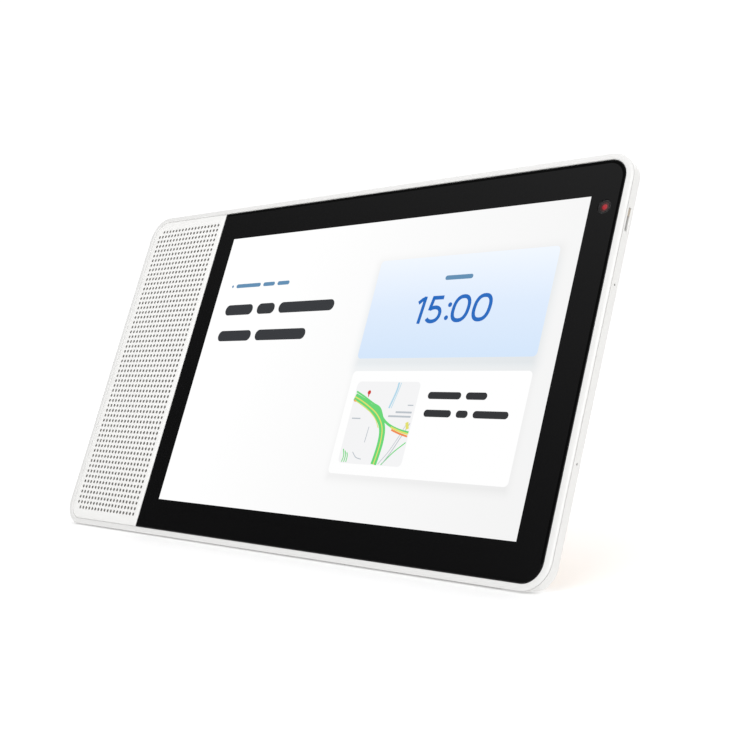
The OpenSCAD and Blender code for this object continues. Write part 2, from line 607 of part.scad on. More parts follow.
motor_z = 17;
motor_r = 17;
coil_r = 9.6;
gap_r = 0.35;
surround_r = driver_d / 2 - 2.7;
module driver_basket() color("dimgray") slab() about_driver() difference() {
    rotate_extrude() polygon([[driver_d / 2, 0], [driver_d / 2, flange_t], [surround_r, flange_t], [surround_r, 0.3],
        [surround_r - 1, -1], [motor_r, 1 - motor_z], [motor_r - 3, 1 - motor_z], [motor_r - 3, -motor_z],
        [motor_r + 1, -motor_z], [surround_r + 0.1, -1.2], [surround_r + 0.1, 0]]);
    for (a = [0:3]) rotate(45 + 90 * a) translate([motor_r + 4, 0, -9.5]) cube([8, 16, 8], center = true);
}
module driver_magnet() color("dimgray") slab() about_driver() translate([0, 0, -motor_z - 11]) difference() {
    cylinder(r = motor_r + 1.5, h = 8);
    cylinder(r = coil_r + 2.4, h = 30, center = true);
}
module driver_yoke() color("silver") slab() about_driver() {
    translate([0, 0, -motor_z - 14]) cylinder(r = motor_r, h = 3);
    translate([0, 0, -motor_z - 11]) cylinder(r = coil_r - 0.6, h = 11);
    translate([0, 0, -motor_z - 3]) difference() {
        cylinder(r = motor_r - fit_gap, h = 3);
        cylinder(r = coil_r + 0.9, h = 30, center = true);
    }
}
module half_roll(r_mid, w) rotate_extrude() translate([r_mid, 0]) intersection() {
    difference() {
        circle(w / 2);
        circle(w / 2 - 0.5);
    }
    translate([-w, 0]) square([2 * w, w]);
}
module driver_surround() color([0.15, 0.15, 0.15]) slab() about_driver() translate([0, 0, 0.4])
    half_roll((surround_r + cone_r + gap_r) / 2, surround_r - cone_r - gap_r);
module driver_spider() color("khaki") slab() about_driver() translate([0, 0, -motor_z + 3.5]) difference() {
    cylinder(r = motor_r + 0.9, h = 0.4);
    cylinder(r = coil_r + 0.3 + gap_r, h = 30, center = true);
}
module voice_coil() color("peru") slab() about_driver() translate([0, 0, -motor_z - 2]) difference() {
    cylinder(r = coil_r + 0.3, h = 10.4);
    cylinder(r = coil_r, h = 40, center = true);
}
module driver_cone() color([0.12, 0.12, 0.12]) slab() about_driver() rotate_extrude() polygon([
    [coil_r + 0.35, -motor_z + 8], [cone_r - 0.6, 0.1], [cone_r, 0.1], [cone_r, 0.6], [cone_r - 0.9, 0.6],
    [coil_r + 0.35, -motor_z + 8.6]]);
module dust_cap() color([0.1, 0.1, 0.1]) slab() about_driver() translate([0, 0, -motor_z + 8.4]) intersection() {
    difference() {
        translate([0, 0, -6]) sphere(r = 12);
        translate([0, 0, -6]) sphere(r = 11.5);
    }
    cylinder(r = coil_r + 0.2, h = 10);
}
module radiator_surrounds() color([0.15, 0.15, 0.15]) slab() for (s = [-1, 1]) difference() {
    radiator_hole(s, 0, baffle_z - 1.3, baffle_z);
    radiator_hole(s, 2 * roll_w - 0.8, baffle_z - 0.7, big);
    radiator_hole(s, 2 * roll_w, -big, big);
}
module radiator(s) color("dimgray") slab() {
    radiator_hole(s, 2 * roll_w + 2 * gap_r, baffle_z - 1.1, baffle_z + 0.4);
    disc(driver_x, driver_y + s * radiator_off, min(radiator_w, radiator_h) - 2 * roll_w - 8, baffle_z + 0.4,
        baffle_z + 4);
}
module upper_radiator() radiator(1);
module lower_radiator() radiator(-1);
module speaker_lead() color("firebrick") slab() {
    y1 = board_y - 26;
    x1 = board_x - board_w / 2 - 0.5;
    lead([for (t = [0:0.1:1]) [box_x1 + 0.2 + (x1 - box_x1 - 0.2) * t, y1 - 6 * sin(180 * t),
        -(board_z + board_t + 0.8)]], 1.4);
}

// ---- Rear shell, back panel, end cap and feet --------------------------------------------------------

module rear_outer() intersection() {
    outline(0, seam_z, big / 2);
    body_of_back(0);
    above_base(0);
}
module cavity() intersection() {
    outline(wall_t, -1, big / 2);
    body_of_back(skin_in);
    above_base(wall_t + 0.2);
}
module end_zone(t) end_face() translate([-big + t, -big / 2, -big]) cube(big);
// The inlet's line, at the pocket's floor, pointing back
module at_inlet() table() translate([inlet_x, inlet_y - pocket_depth, inlet_z]) rotate([-90, 0, 0]) children();
module inlet_pocket(gap) at_inlet() cylinder(d = pocket_d + gap, h = 40);
module side_openings() {
    plate(slab_w / 2 - wall_t - 0.5, slab_w, slot_y0, slot_y1, slot_z - slot_w / 2,
        slot_z + slot_w / 2);
    for (y = mic_y) translate([slab_w / 2 - wall_t - 1, y, -slot_z]) rotate([0, 90, 0]) cylinder(d = mic_d, h = 9);
    for (x = mic_x) translate([x, slab_h / 2 - wall_t - 1, -slot_z]) rotate([-90, 0, 0]) cylinder(d = mic_d, h = 9);
    for (x = volume_x) button_slot(x, button_l);
    button_slot(mute_x, mute_l + mute_travel);
}
module button_slot(x, l) plate(x - l / 2 - slide_gap, x + l / 2 + slide_gap, slab_h / 2 - wall_t - 1, slab_h,
    button_z - button_w / 2 - slide_gap, button_z + button_w / 2 + slide_gap);

module rear_shell() color("white") slab() difference() {
    union() {
        difference() {
            rear_outer();
            cavity();
        }
        intersection() {
            rear_outer();
            at_inlet() translate([0, 0, -2]) cylinder(d = pocket_d + 4, h = 40);
        }
    }
    end_zone(cap_t + fit_gap);
    panel_zone(0);
    inlet_pocket(0);
    at_inlet() cylinder(d = 8 + 2 * fit_gap, h = 20, center = true);
    side_openings();
    feet(fit_gap);
}

// Where the wooden panel lies, smaller all round by gap
module panel_zone(gap) difference() {
    intersection() {
        outline(panel_border + gap, edge_t, big / 2);
        above_base(panel_border + gap);
        end_face() translate([cap_t + panel_border + gap, -big / 2, -big]) cube(big);
    }
    body_of_back(panel_t);
}
module back_panel() color("burlywood") slab() difference() {
    intersection() {
        panel_zone(slide_gap);
        body_of_back(0);
    }
    inlet_pocket(0.6);
}
module end_cap() color("white") slab() difference() {
    intersection() {
        outline(0, edge_t + 0.1, big / 2);
        body_of_back(0);
        above_base(0);
        end_face() translate([0, -big / 2, -big]) cube([cap_t, big, big - 0.2]);
    }
    end_pads(fit_gap);
}
foot_in = 14;
strip_t = foot_h / cos(lean) + 0.8;
foot_d = 14;
foot_x = [corner_x + 18, -20];
module feet(gap) {
    translate([-slab_w / 2 + 22 - gap, 0, 0]) rotate([90, 0, 90]) linear_extrude(slab_w - 44 + 2 * gap) polygon([
        [floor_y(3 - gap) + strip_t + gap, -3 + gap],
        [floor_y(edge_t + 0.6 + gap) + strip_t + gap, -edge_t - 0.6 - gap],
        [floor_y(edge_t + 0.6 + gap), -edge_t - 0.6 - gap], [floor_y(3 - gap), -3 + gap]]);
    table() for (x = foot_x) translate([x, base_y(x) - foot_in, -gap])
        cylinder(d = foot_d + 2 * gap, h = 2 * foot_h + 2 * gap);
}
// Height of the table's top, in slab axes, at a depth z
function floor_y(z) = -slab_h / 2 + (z - sole_in) * tan(lean) - foot_h / cos(lean);
module rubber_feet() color("dimgray") slab() feet(0);
pad_d = 7;
module end_pads(gap) end_face() for (p = [[12, -0.36 * slab_h, 0.3 * slab_h], [92, -0.26 * slab_h, -0.07 * slab_h]])
    hull() for (y = [p[1], p[2]]) translate([foot_h + gap, y, -p[0]]) rotate([0, -90, 0])
        cylinder(d = pad_d + 2 * gap, h = 2 * foot_h + gap);
module end_feet() color("dimgray") slab() end_pads(0);

module power_inlet() color("black") slab() at_inlet() {
    difference() {
        union() {
            translate([0, 0, -3]) cylinder(d = 8, h = 3);
            translate([-5, -6, -13]) cube([10, 11, 10.9]);
        }
        translate([0, 0, -10]) cylinder(d = inlet_d, h = 20);
    }
    translate([0, 0, -11]) cylinder(d = 2, h = 10);
}

front_bezel();
grille_plate();
grille_cloth();
cover_glass();
glass_adhesive();
optical_bond();
lcd_cell();
light_guide();
backlight_tray();
led_strip();
display_driver();
display_ribbon();
camera_sleeve();
camera_lens();
camera_module();
camera_board();
camera_ribbon();
light_sensor();
shutter_blade();
shutter_mark();
shutter_knob();
side_microphones();
top_microphones();
microphone_gaskets();
mid_plate();
plate_screws();
main_board();
main_chips();
board_connectors();
shield_cans();
thermal_pads();
heat_spreader();
board_screws();
antennas();
antenna_leads();
button_board();
tact_switches();
volume_down_button();
volume_up_button();
mute_switch();
speaker_box();
speaker_baffle();
driver_basket();
driver_magnet();
driver_yoke();
driver_surround();
driver_spider();
voice_coil();
driver_cone();
dust_cap();
radiator_surrounds();
upper_radiator();
lower_radiator();
speaker_lead();
rear_shell();
back_panel();
end_cap();
rubber_feet();
end_feet();
power_inlet();
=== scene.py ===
# A countertop smart display: a screen slab that leans back on a hollow-swept wedge, its speaker at one end.
# Every piece is drawn in the slab's own axes in millimetres: x to the right, y up the screen, z out of the
# glass with z = 0 on its face. placed() turns those into the table's axes in metres.
import math

import bmesh
import bpy
import numpy as np
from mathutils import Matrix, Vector


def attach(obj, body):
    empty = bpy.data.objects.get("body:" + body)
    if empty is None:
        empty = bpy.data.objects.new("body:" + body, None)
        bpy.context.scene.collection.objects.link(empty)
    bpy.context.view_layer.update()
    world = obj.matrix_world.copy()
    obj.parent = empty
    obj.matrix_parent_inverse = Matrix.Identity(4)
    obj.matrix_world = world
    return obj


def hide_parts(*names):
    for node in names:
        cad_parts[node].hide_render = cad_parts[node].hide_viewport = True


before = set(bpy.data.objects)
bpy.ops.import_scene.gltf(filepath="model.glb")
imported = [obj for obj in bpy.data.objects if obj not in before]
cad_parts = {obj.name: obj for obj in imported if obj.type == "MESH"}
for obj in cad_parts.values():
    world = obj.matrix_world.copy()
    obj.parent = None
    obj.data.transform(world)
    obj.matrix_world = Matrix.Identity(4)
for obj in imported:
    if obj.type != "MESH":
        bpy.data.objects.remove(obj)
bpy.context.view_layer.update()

# ---- The table, the surroundings and the lamps ------------------------------------------------------------
# A pale matt table under an even white sky, with one broad soft lamp in front and a weaker one behind, so
# that the white plastic keeps its edges and the black glass stays dark.
scene = bpy.context.scene
scene.view_settings.view_transform = "Standard"
EYE = (0.42031, -0.41693, 0.07845)
EYE_TURN = (89.823, 0.1095, 44.867)
LENS = 60.262
camera = bpy.data.objects.new("camera", bpy.data.cameras.new("camera"))
camera.data.lens = LENS
camera.data.sensor_width = 36
camera.data.clip_start = 0.01
camera.location = EYE
camera.rotation_euler = [math.radians(a) for a in EYE_TURN]
scene.collection.objects.link(camera)
scene.camera = camera

FLOOR_REACH, FLOOR_SIDES = 5.0, 64
FLOOR_WHITE, FLOOR_LIFT, FAR_LIFT = 0.80, 0.22, 0.42
LIFT_FROM, LIFT_TO = 0.3, 1.1
rings = [0.0, 0.15, 0.3, 0.6, 1.2, 2.5, FLOOR_REACH]
floor_mesh = bpy.data.meshes.new("table_top")
turn = [2 * math.pi * k / FLOOR_SIDES for k in range(FLOOR_SIDES)]
floor_points = [(r * math.cos(a), r * math.sin(a), 0) for r in rings[1:] for a in turn] + [(0, 0, 0)]
floor_faces = [(len(floor_points) - 1, k, (k + 1) % FLOOR_SIDES) for k in range(FLOOR_SIDES)]
for i in range(len(rings) - 2):
    near, far = i * FLOOR_SIDES, (i + 1) * FLOOR_SIDES
    for k in range(FLOOR_SIDES):
        m = (k + 1) % FLOOR_SIDES
        floor_faces.append((near + k, far + k, far + m, near + m))
floor_mesh.from_pydata(floor_points, [], floor_faces)
floor_paint = bpy.data.materials.new("table_paint")
floor_paint.use_nodes = True
floor_nodes, floor_links = floor_paint.node_tree.nodes, floor_paint.node_tree.links
floor_shader = floor_nodes["Principled BSDF"]
floor_shader.inputs["Base Color"].default_value = (FLOOR_WHITE, FLOOR_WHITE, FLOOR_WHITE, 1)
floor_shader.inputs["Roughness"].default_value = 0.55
floor_shader.inputs["Specular IOR Level"].default_value = 0.2
floor_shader.inputs["Emission Color"].default_value = (1, 1, 1, 1)
floor_where = floor_nodes.new("ShaderNodeTexCoord")
floor_far = floor_nodes.new("ShaderNodeVectorMath")
floor_far.operation = "LENGTH"
floor_lift = floor_nodes.new("ShaderNodeMapRange")
floor_lift.interpolation_type = "SMOOTHSTEP"
floor_lift.inputs["From Min"].default_value = LIFT_FROM
floor_lift.inputs["From Max"].default_value = LIFT_TO
floor_lift.inputs["To Min"].default_value = FLOOR_LIFT
floor_lift.inputs["To Max"].default_value = FAR_LIFT
floor_links.new(floor_where.outputs["Object"], floor_far.inputs[0])
floor_links.new(floor_far.outputs["Value"], floor_lift.inputs["Value"])
floor_links.new(floor_lift.outputs["Result"], floor_shader.inputs["Emission Strength"])
floor_mesh.materials.append(floor_paint)
table_top = bpy.data.objects.new("table_top", floor_mesh)
scene.collection.objects.link(table_top)

# The sky is dimmer low down, and a dark card hangs where the glass mirrors it and keeps the glass black.
SKY_LOW, SKY_HIGH, SKY_SEEN = 0.66, 1.12, 1.08
CARD_WAY = (-0.892, -0.404, -0.201)
CARD_EDGE, CARD_MIDDLE, CARD_DARK = 0.30, 0.86, 0.056
world = bpy.data.worlds.new("studio")
scene.world = world
world.use_nodes = True
sky = world.node_tree
sky_light = sky.nodes["Background"]
heading = sky.nodes.new("ShaderNodeTexCoord")
heading_axes = sky.nodes.new("ShaderNodeSeparateXYZ")
rise = sky.nodes.new("ShaderNodeMapRange")
toward_card = sky.nodes.new("ShaderNodeVectorMath")
toward_card.operation = "DOT_PRODUCT"
toward_card.inputs[1].default_value = Vector(CARD_WAY).normalized()
card_shade = sky.nodes.new("ShaderNodeMapRange")
card_shade.interpolation_type = "SMOOTHSTEP"
for step, low, high, start, end in ((rise, 0.0, 0.8, SKY_LOW, SKY_HIGH),
                                    (card_shade, CARD_EDGE, CARD_MIDDLE, 1.0, CARD_DARK)):
    step.inputs["From Min"].default_value = low
    step.inputs["From Max"].default_value = high
    step.inputs["To Min"].default_value = start
    step.inputs["To Max"].default_value = end
carded = sky.nodes.new("ShaderNodeMath")
carded.operation = "MULTIPLY"
ray = sky.nodes.new("ShaderNodeLightPath")
seen = sky.nodes.new("ShaderNodeMix")
seen.data_type = "FLOAT"
seen.inputs["B"].default_value = SKY_SEEN
sky.links.new(heading.outputs["Generated"], heading_axes.inputs[0])
sky.links.new(heading.outputs["Generated"], toward_card.inputs[0])
sky.links.new(heading_axes.outputs["Z"], rise.inputs["Value"])
sky.links.new(toward_card.outputs["Value"], card_shade.inputs["Value"])
sky.links.new(rise.outputs["Result"], carded.inputs[0])
sky.links.new(card_shade.outputs["Result"], carded.inputs[1])
sky.links.new(carded.outputs[0], seen.inputs["A"])
sky.links.new(ray.outputs["Is Camera Ray"], seen.inputs["Factor"])
sky.links.new(seen.outputs["Result"], sky_light.inputs["Strength"])
sky_light.inputs["Color"].default_value = (1, 1, 1, 1)

for name, place, watts, size in (
    ("key_lamp", (0.45, -1.45, 0.95), 10.5, 1.0),
    ("back_lamp", (-0.30, 1.20, 1.10), 4.0, 1.0),
):
    lamp = bpy.data.objects.new(name, bpy.data.lights.new(name, "AREA"))
    lamp.data.energy = watts
    lamp.data.size = size
    lamp.location = place
    lamp.rotation_euler = (Vector((0, 0, 0.08)) - Vector(place)).to_track_quat("-Z", "Y").to_euler()
    scene.collection.objects.link(lamp)

# ---- Front rim --------------------------------------------------------------------------------------------
# The white front frame, an injection-moulded ring of satin ABS. It rises in a rounded crest round the grille
# and the glass, and a fine step at its back edge makes the shadow line against the rear shell.
LEAN = math.radians(20)
SHIFT_Y, SHIFT_Z = -38.4662, 81.5248
HALF_W, HALF_H = 155.7, 85.9
CORNER_R = 12.0
RIM_W, RIM_H, RIM_RISE, SEAM, SEAM_IN = 3.4, 2.7, 0.35, 0.3, 0.5
SEAT, LEDGE_Z, NECK_Z = 1.25, -1.85, -0.66
WHITE_FRONT = (0.74, 0.737, 0.728)


def placed(points):
    """Slab millimetres to table metres."""
    p = np.asarray(points, float)
    x, y, z = p[..., 0], p[..., 1], p[..., 2]
    return np.stack([x, y * math.sin(LEAN) - z * math.cos(LEAN) + SHIFT_Y,
                     y * math.cos(LEAN) + z * math.sin(LEAN) + SHIFT_Z], -1) / 1000


def outline(x0, x1, y0, y1, corners, steps=12):
    """A rectangle with round corners, anticlockwise from the lower left; corners are bl, br, tr, tl."""
    bl, br, tr, tl = [max(r, 0.02) for r in corners]
    turns = [(x0 + bl, y0 + bl, bl, 180), (x1 - br, y0 + br, br, 270),
             (x1 - tr, y1 - tr, tr, 0), (x0 + tl, y1 - tl, tl, 90)]
    return np.array([(cx + r * math.cos(math.radians(a + 90 * k / steps)),
                      cy + r * math.sin(math.radians(a + 90 * k / steps)))
                     for cx, cy, r, a in turns for k in range(steps + 1)])


def slab_outline(inset, inset_y, steps=12):
    """The slab's own outline, moved inwards from the ends and from above and below."""
    return outline(-HALF_W + inset, HALF_W - inset, -HALF_H + inset_y, HALF_H - inset_y,
                   [CORNER_R - inset] * 4, steps)


def raised(loop, z):
    """A flat loop at height z."""
    return np.column_stack([loop, np.full(len(loop), z)])


def skin(rows, cols, round_rows=False, round_cols=True):
    """Four-sided faces over a grid of points, rows of cols points each."""
    last_row = rows if round_rows else rows - 1
    last_col = cols if round_cols else cols - 1
    return [(i * cols + k, i * cols + (k + 1) % cols,
             ((i + 1) % rows) * cols + (k + 1) % cols, ((i + 1) % rows) * cols + k)
            for i in range(last_row) for k in range(last_col)]


def block(x0, x1, y0, y1, z0, z1):
    """A plain box as points and faces, for cutting with."""
    pts = [(x, y, z) for x in (x0, x1) for y in (y0, y1) for z in (z0, z1)]
    return pts, [(0, 1, 3, 2), (4, 6, 7, 5), (0, 4, 5, 1), (2, 3, 7, 6), (0, 2, 6, 4), (1, 5, 7, 3)]


def together(solids):
    """Several solids as one list of points and one of faces."""
    points, faces = [], []
    for pts, fcs in solids:
        faces += [tuple(len(points) + k for k in f) for f in fcs]
        points += [tuple(p) for p in pts]
    return points, faces


def solid(name, points, faces, at_table=False):
    """A mesh object from slab points, or from table points in metres, with its faces turned outwards."""
    mesh = bpy.data.meshes.new(name)
    where = np.asarray(points, float) if at_table else placed(points)
    mesh.from_pydata([tuple(p) for p in where], [], [tuple(f) for f in faces])
    shape = bmesh.new()
    shape.from_mesh(mesh)
    bmesh.ops.remove_doubles(shape, verts=shape.verts, dist=2e-7)
    bmesh.ops.dissolve_degenerate(shape, edges=shape.edges, dist=2e-7)
    bmesh.ops.recalc_face_normals(shape, faces=shape.faces)
    shape.to_mesh(mesh)
    shape.free()
    ob = bpy.data.objects.new(name, mesh)
    scene.collection.objects.link(ob)
    return ob


def carved(ob, cutter, how="DIFFERENCE"):
    """Cuts one solid with another, or keeps what they share, and leaves the result in the first."""
    change = ob.modifiers.new("carve", "BOOLEAN")
    change.operation = how
    change.solver = "EXACT"
    change.object = cutter
    bpy.context.view_layer.update()
    result = bpy.data.meshes.new_from_object(ob.evaluated_get(bpy.context.evaluated_depsgraph_get()))
    ob.modifiers.clear()
    old = ob.data
    result.name = old.name
    ob.data = result
    bpy.data.meshes.remove(old)
    return ob


def scrap(*obs):
    for ob in obs:
        bpy.data.objects.remove(ob)


def finished(ob, finish, body, stands_for=(), crease=32, flats=False):
    """Gives a piece its finish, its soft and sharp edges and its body."""
    ob.data.materials.clear()
    ob.data.materials.append(finish)
    ob.data.shade_smooth()
    ob.data.set_sharp_from_angle(angle=math.radians(crease))
    if flats:
        even = ob.modifiers.new("even_flats", "WEIGHTED_NORMAL")
        even.keep_sharp = True
        even.weight = 100
    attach(ob, body)
    if stands_for:
        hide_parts(*stands_for)
    return ob


def moulded(name, colour, rough, grain=900, depth=0.00002, mottle=0.03, metallic=0.0, shine=0.5, coat=0.0):
    """A moulded, cast or sheet surface: fine grain in relief, and slow changes of colour and gloss."""
    mat = bpy.data.materials.new(name)
    mat.use_nodes = True
    nodes, links = mat.node_tree.nodes, mat.node_tree.links
    shader = nodes["Principled BSDF"]
    shader.inputs["Metallic"].default_value = metallic
    shader.inputs["Specular IOR Level"].default_value = shine
    shader.inputs["Coat Weight"].default_value = coat
    where = nodes.new("ShaderNodeTexCoord")
    fine = nodes.new("ShaderNodeTexNoise")
    fine.inputs["Scale"].default_value = grain
    fine.inputs["Detail"].default_value = 3
    relief = nodes.new("ShaderNodeBump")
    relief.inputs["Strength"].default_value = 0.5
    relief.inputs["Distance"].default_value = depth
    slow = nodes.new("ShaderNodeTexNoise")
    slow.inputs["Scale"].default_value = 28
    slow.inputs["Detail"].default_value = 4
    gloss = nodes.new("ShaderNodeMapRange")
    gloss.inputs["To Min"].default_value = rough * 0.88
    gloss.inputs["To Max"].default_value = min(1.0, rough * 1.14)
    tone = nodes.new("ShaderNodeMix")
    tone.data_type = "RGBA"
    tone.inputs["A"].default_value = (*colour, 1)
    tone.inputs["B"].default_value = (*[c * (1 - mottle) for c in colour], 1)
    links.new(where.outputs["Object"], fine.inputs["Vector"])
    links.new(where.outputs["Object"], slow.inputs["Vector"])
    links.new(fine.outputs["Fac"], relief.inputs["Height"])
    links.new(relief.outputs["Normal"], shader.inputs["Normal"])
    links.new(slow.outputs["Fac"], gloss.inputs["Value"])
    links.new(gloss.outputs["Result"], shader.inputs["Roughness"])
    links.new(slow.outputs["Fac"], tone.inputs["Factor"])
    links.new(tone.outputs["Result"], shader.inputs["Base Color"])
    return mat


satin_white = moulded("satin_white_front", WHITE_FRONT, 0.36, grain=1400, depth=0.000012, mottle=0.012)
crest = [(RIM_W / 2 * (1 - math.cos(math.radians(7.5 * i))),
          -SEAM + (RIM_RISE + SEAM) * math.sin(math.radians(7.5 * i))) for i in range(2, 13)]
rim_section = [(SEAM_IN, SEAM_IN, -SEAM), (0.12, 0.12, -SEAM), (0.04, 0.04, -SEAM + 0.1)]
rim_section += [(i, i, z) for i, z in crest]
for back_off, z in ((0.62, 0.35), (0.42, 0.33), (0.24, 0.23), (0.14, 0.07), (0.1, -0.14), (0.1, -SEAT)):
    rim_section.append((RIM_W - back_off, RIM_H - back_off, z))
rim_section += [(6.0, 5.3, -SEAT), (6.0, 5.3, LEDGE_Z), (2.4, 4.2, LEDGE_Z), (2.4, 4.2, NECK_Z),
                (SEAM_IN, SEAM_IN, NECK_Z)]
loops = [raised(slab_outline(inset, inset_y), z) for inset, inset_y, z in rim_section]
front_rim = solid("front_rim", np.concatenate(loops), skin(len(loops), len(loops[0]), round_rows=True))
shutter_channel = solid("shutter_channel", *block(140, 153.95, 52.9, 66.6, -5, -SEAT + 0.02))
carved(front_rim, shutter_channel)
scrap(shutter_channel)
finished(front_rim, satin_white, "housing", ["front_bezel"], flats=True)

# ---- Speaker grille ---------------------------------------------------------------------------------------
# A flat white plate in front of the driver, punched with rows of fine round holes whose edges are broken,
# and a dark woven cloth glued behind it. It sits flush with the glass, a hairline away from the rim.
FACE_T = 1.1
PANEL_X, PANEL_Y, PANE_R = 152.3, 83.2, 8.6
GRILLE_EDGE = -92.9
PITCH_X, PITCH_Y, HOLE_R = 2.8, 2.77, 0.86
COLUMNS, ROWS = 19, 57
HOLE_SIDES = 12
SHEET_T = 0.25
GRILLE_WHITE = (0.83, 0.826, 0.814)


def pierced(rims, openings, walls=True):
    """A flat plate: rims are its outer loops from front to back, openings are loops cut right through."""
    shape = bmesh.new()
    outer = [[shape.verts.new(p) for p in raised(loop, z)] for loop, z in rims]
    cuts = [([shape.verts.new(p) for p in raised(loop, rims[0][1])],
             [shape.verts.new(p) for p in raised(loop, rims[-1][1])]) for loop in openings]

    def belt(a, b):
        for k in range(len(a)):
            m = (k + 1) % len(a)
            shape.faces.new((a[k], a[m], b[m], b[k]))

    for a, b in zip(outer, outer[1:]):
        belt(a, b)
    for a, b in cuts:
        if walls:
            belt(b, a)
    for side, ring in ((0, outer[0]), (1, outer[-1])):
        edges = []
        for loop in [ring] + [c[side] for c in cuts]:
            for k in range(len(loop)):
                pair = (loop[k], loop[(k + 1) % len(loop)])
                edges.append(shape.edges.get(pair) or shape.edges.new(pair))
        bmesh.ops.triangle_fill(shape, use_beauty=True, use_dissolve=False, edges=edges)
    shape.verts.index_update()
    points = [tuple(v.co) for v in shape.verts]
    faces = [tuple(v.index for v in f.verts) for f in shape.faces]
    shape.free()
    return points, faces


def box_rim(w, h, cx, cy, per_side):
    """Points round a rectangle, the same number on each side, starting to the right of the middle of it."""
    pts = []
    for k in range(4 * per_side):
        side, step = divmod(k, per_side)
        t = step / per_side
        pts.append([(w / 2, h * (t - 0.5)), (w * (0.5 - t), h / 2), (-w / 2, h * (0.5 - t)),
                    (w * (t - 0.5), -h / 2)][side])
    return np.array(pts) + (cx, cy)


def punched_cell(cx, cy, filled):
    """One hole with the bit of plate round it, front and back."""
    n = HOLE_SIDES
    square = box_rim(PITCH_X, PITCH_Y, cx, cy, n // 4)
    if filled:
        pts = np.concatenate([raised(square, 0), raised(square, -SHEET_T)])
        return pts, [tuple(range(n)), tuple(range(2 * n - 1, n - 1, -1))]
    spin = [math.radians(-45 + 360 * k / n) for k in range(n)]
    circle = np.array([(math.cos(a), math.sin(a)) for a in spin])
    rings = [raised(square, 0), raised(circle * (HOLE_R + 0.05) + (cx, cy), 0),
             raised(circle * HOLE_R + (cx, cy), -0.05), raised(circle * HOLE_R + (cx, cy), -SHEET_T),
             raised(square, -SHEET_T)]
    return np.concatenate(rings), skin(5, n)


grille_x0 = (-PANEL_X + GRILLE_EDGE) / 2 - (COLUMNS - 1) * PITCH_X / 2
grille_y0 = -(ROWS - 1) * PITCH_Y / 2
parts = [punched_cell(grille_x0 + i * PITCH_X, grille_y0 + j * PITCH_Y, i == 0 and j in (0, ROWS - 1))
         for i in range(COLUMNS) for j in range(ROWS)]
per_side = HOLE_SIDES // 4
x_marks = [grille_x0 + PITCH_X * (k / per_side - 0.5) for k in range(COLUMNS * per_side + 1)]
y_marks = [grille_y0 + PITCH_Y * (k / per_side - 0.5) for k in range(ROWS * per_side + 1)]
field = np.array([(x, y_marks[0]) for x in x_marks[:-1]] + [(x_marks[-1], y) for y in y_marks[:-1]]
                 + [(x, y_marks[-1]) for x in x_marks[:0:-1]] + [(x_marks[0], y) for y in y_marks[:0:-1]])


def grille_outline(inset):
    r = PANE_R - inset
    return outline(-PANEL_X + inset, GRILLE_EDGE - inset, -PANEL_Y + inset, PANEL_Y - inset,
                   [r, 0.25, 0.25, r], 10)


parts.append(pierced([(grille_outline(0.2), 0), (grille_outline(0.06), -0.06), (grille_outline(0), -0.2),
                      (grille_outline(0), -FACE_T)], [field], walls=False))
parts.append((np.concatenate([raised(field, -SHEET_T), raised(field, -FACE_T)]), skin(2, len(field))))
grille_panel = solid("grille_panel", *together(parts))
satin_grille = moulded("satin_white_grille", GRILLE_WHITE, 0.42, grain=1600, depth=0.00001, mottle=0.012)
finished(grille_panel, satin_grille, "housing", ["grille_plate"])

# The cloth behind the holes: a plain weave of grey-brown yarn, two sets of crossed ribs. The flat CAD cloth
# keeps its place, and a sheet of the same cloth with soft edges lies right behind the holes.
cloth = bpy.data.materials.new("grille_cloth_weave")
cloth.use_nodes = True
weave_nodes, weave_links = cloth.node_tree.nodes, cloth.node_tree.links
weave_shader = weave_nodes["Principled BSDF"]
weave_shader.inputs["Roughness"].default_value = 0.9
weave_shader.inputs["Sheen Weight"].default_value = 0.2
weave_where = weave_nodes.new("ShaderNodeTexCoord")
ribs = []
for axis in ("X", "Z"):
    rib = weave_nodes.new("ShaderNodeTexWave")
    rib.bands_direction = axis
    rib.inputs["Scale"].default_value = 700
    rib.inputs["Distortion"].default_value = 1.5
    weave_links.new(weave_where.outputs["Object"], rib.inputs["Vector"])
    ribs.append(rib)
crossing = weave_nodes.new("ShaderNodeMath")
crossing.operation = "MAXIMUM"
yarn = weave_nodes.new("ShaderNodeMix")
yarn.data_type = "RGBA"
yarn.inputs["A"].default_value = (0.045, 0.042, 0.037, 1)
yarn.inputs["B"].default_value = (0.125, 0.118, 0.104, 1)
yarn_relief = weave_nodes.new("ShaderNodeBump")
yarn_relief.inputs["Distance"].default_value = 0.0001
weave_links.new(ribs[0].outputs["Fac"], crossing.inputs[0])
weave_links.new(ribs[1].outputs["Fac"], crossing.inputs[1])
weave_links.new(crossing.outputs[0], yarn.inputs["Factor"])
weave_links.new(crossing.outputs[0], yarn_relief.inputs["Height"])
weave_links.new(yarn.outputs["Result"], weave_shader.inputs["Base Color"])
weave_links.new(yarn_relief.outputs["Normal"], weave_shader.inputs["Normal"])


def dress(finish, *names):
    """Gives CAD nodes their finish."""
    for name in names:
        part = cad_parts[name]
        part.data.materials.clear()
        part.data.materials.append(finish)


dress(cloth, "grille_cloth")
CLOTH_GAP, CLOTH_BACK = 0.1, -1.08


def lidded(rows, n):
    """Faces of a stack of loops of n points each, closed at both ends."""
    return skin(rows, n) + [tuple(range(n)), tuple(range(rows * n - 1, (rows - 1) * n - 1, -1))]


def cloth_outline(inset):
    i = CLOTH_GAP + inset
    return outline(x_marks[0] + i, x_marks[-1] - i, y_marks[0] + i, y_marks[-1] - i, [0.4] * 4, 4)


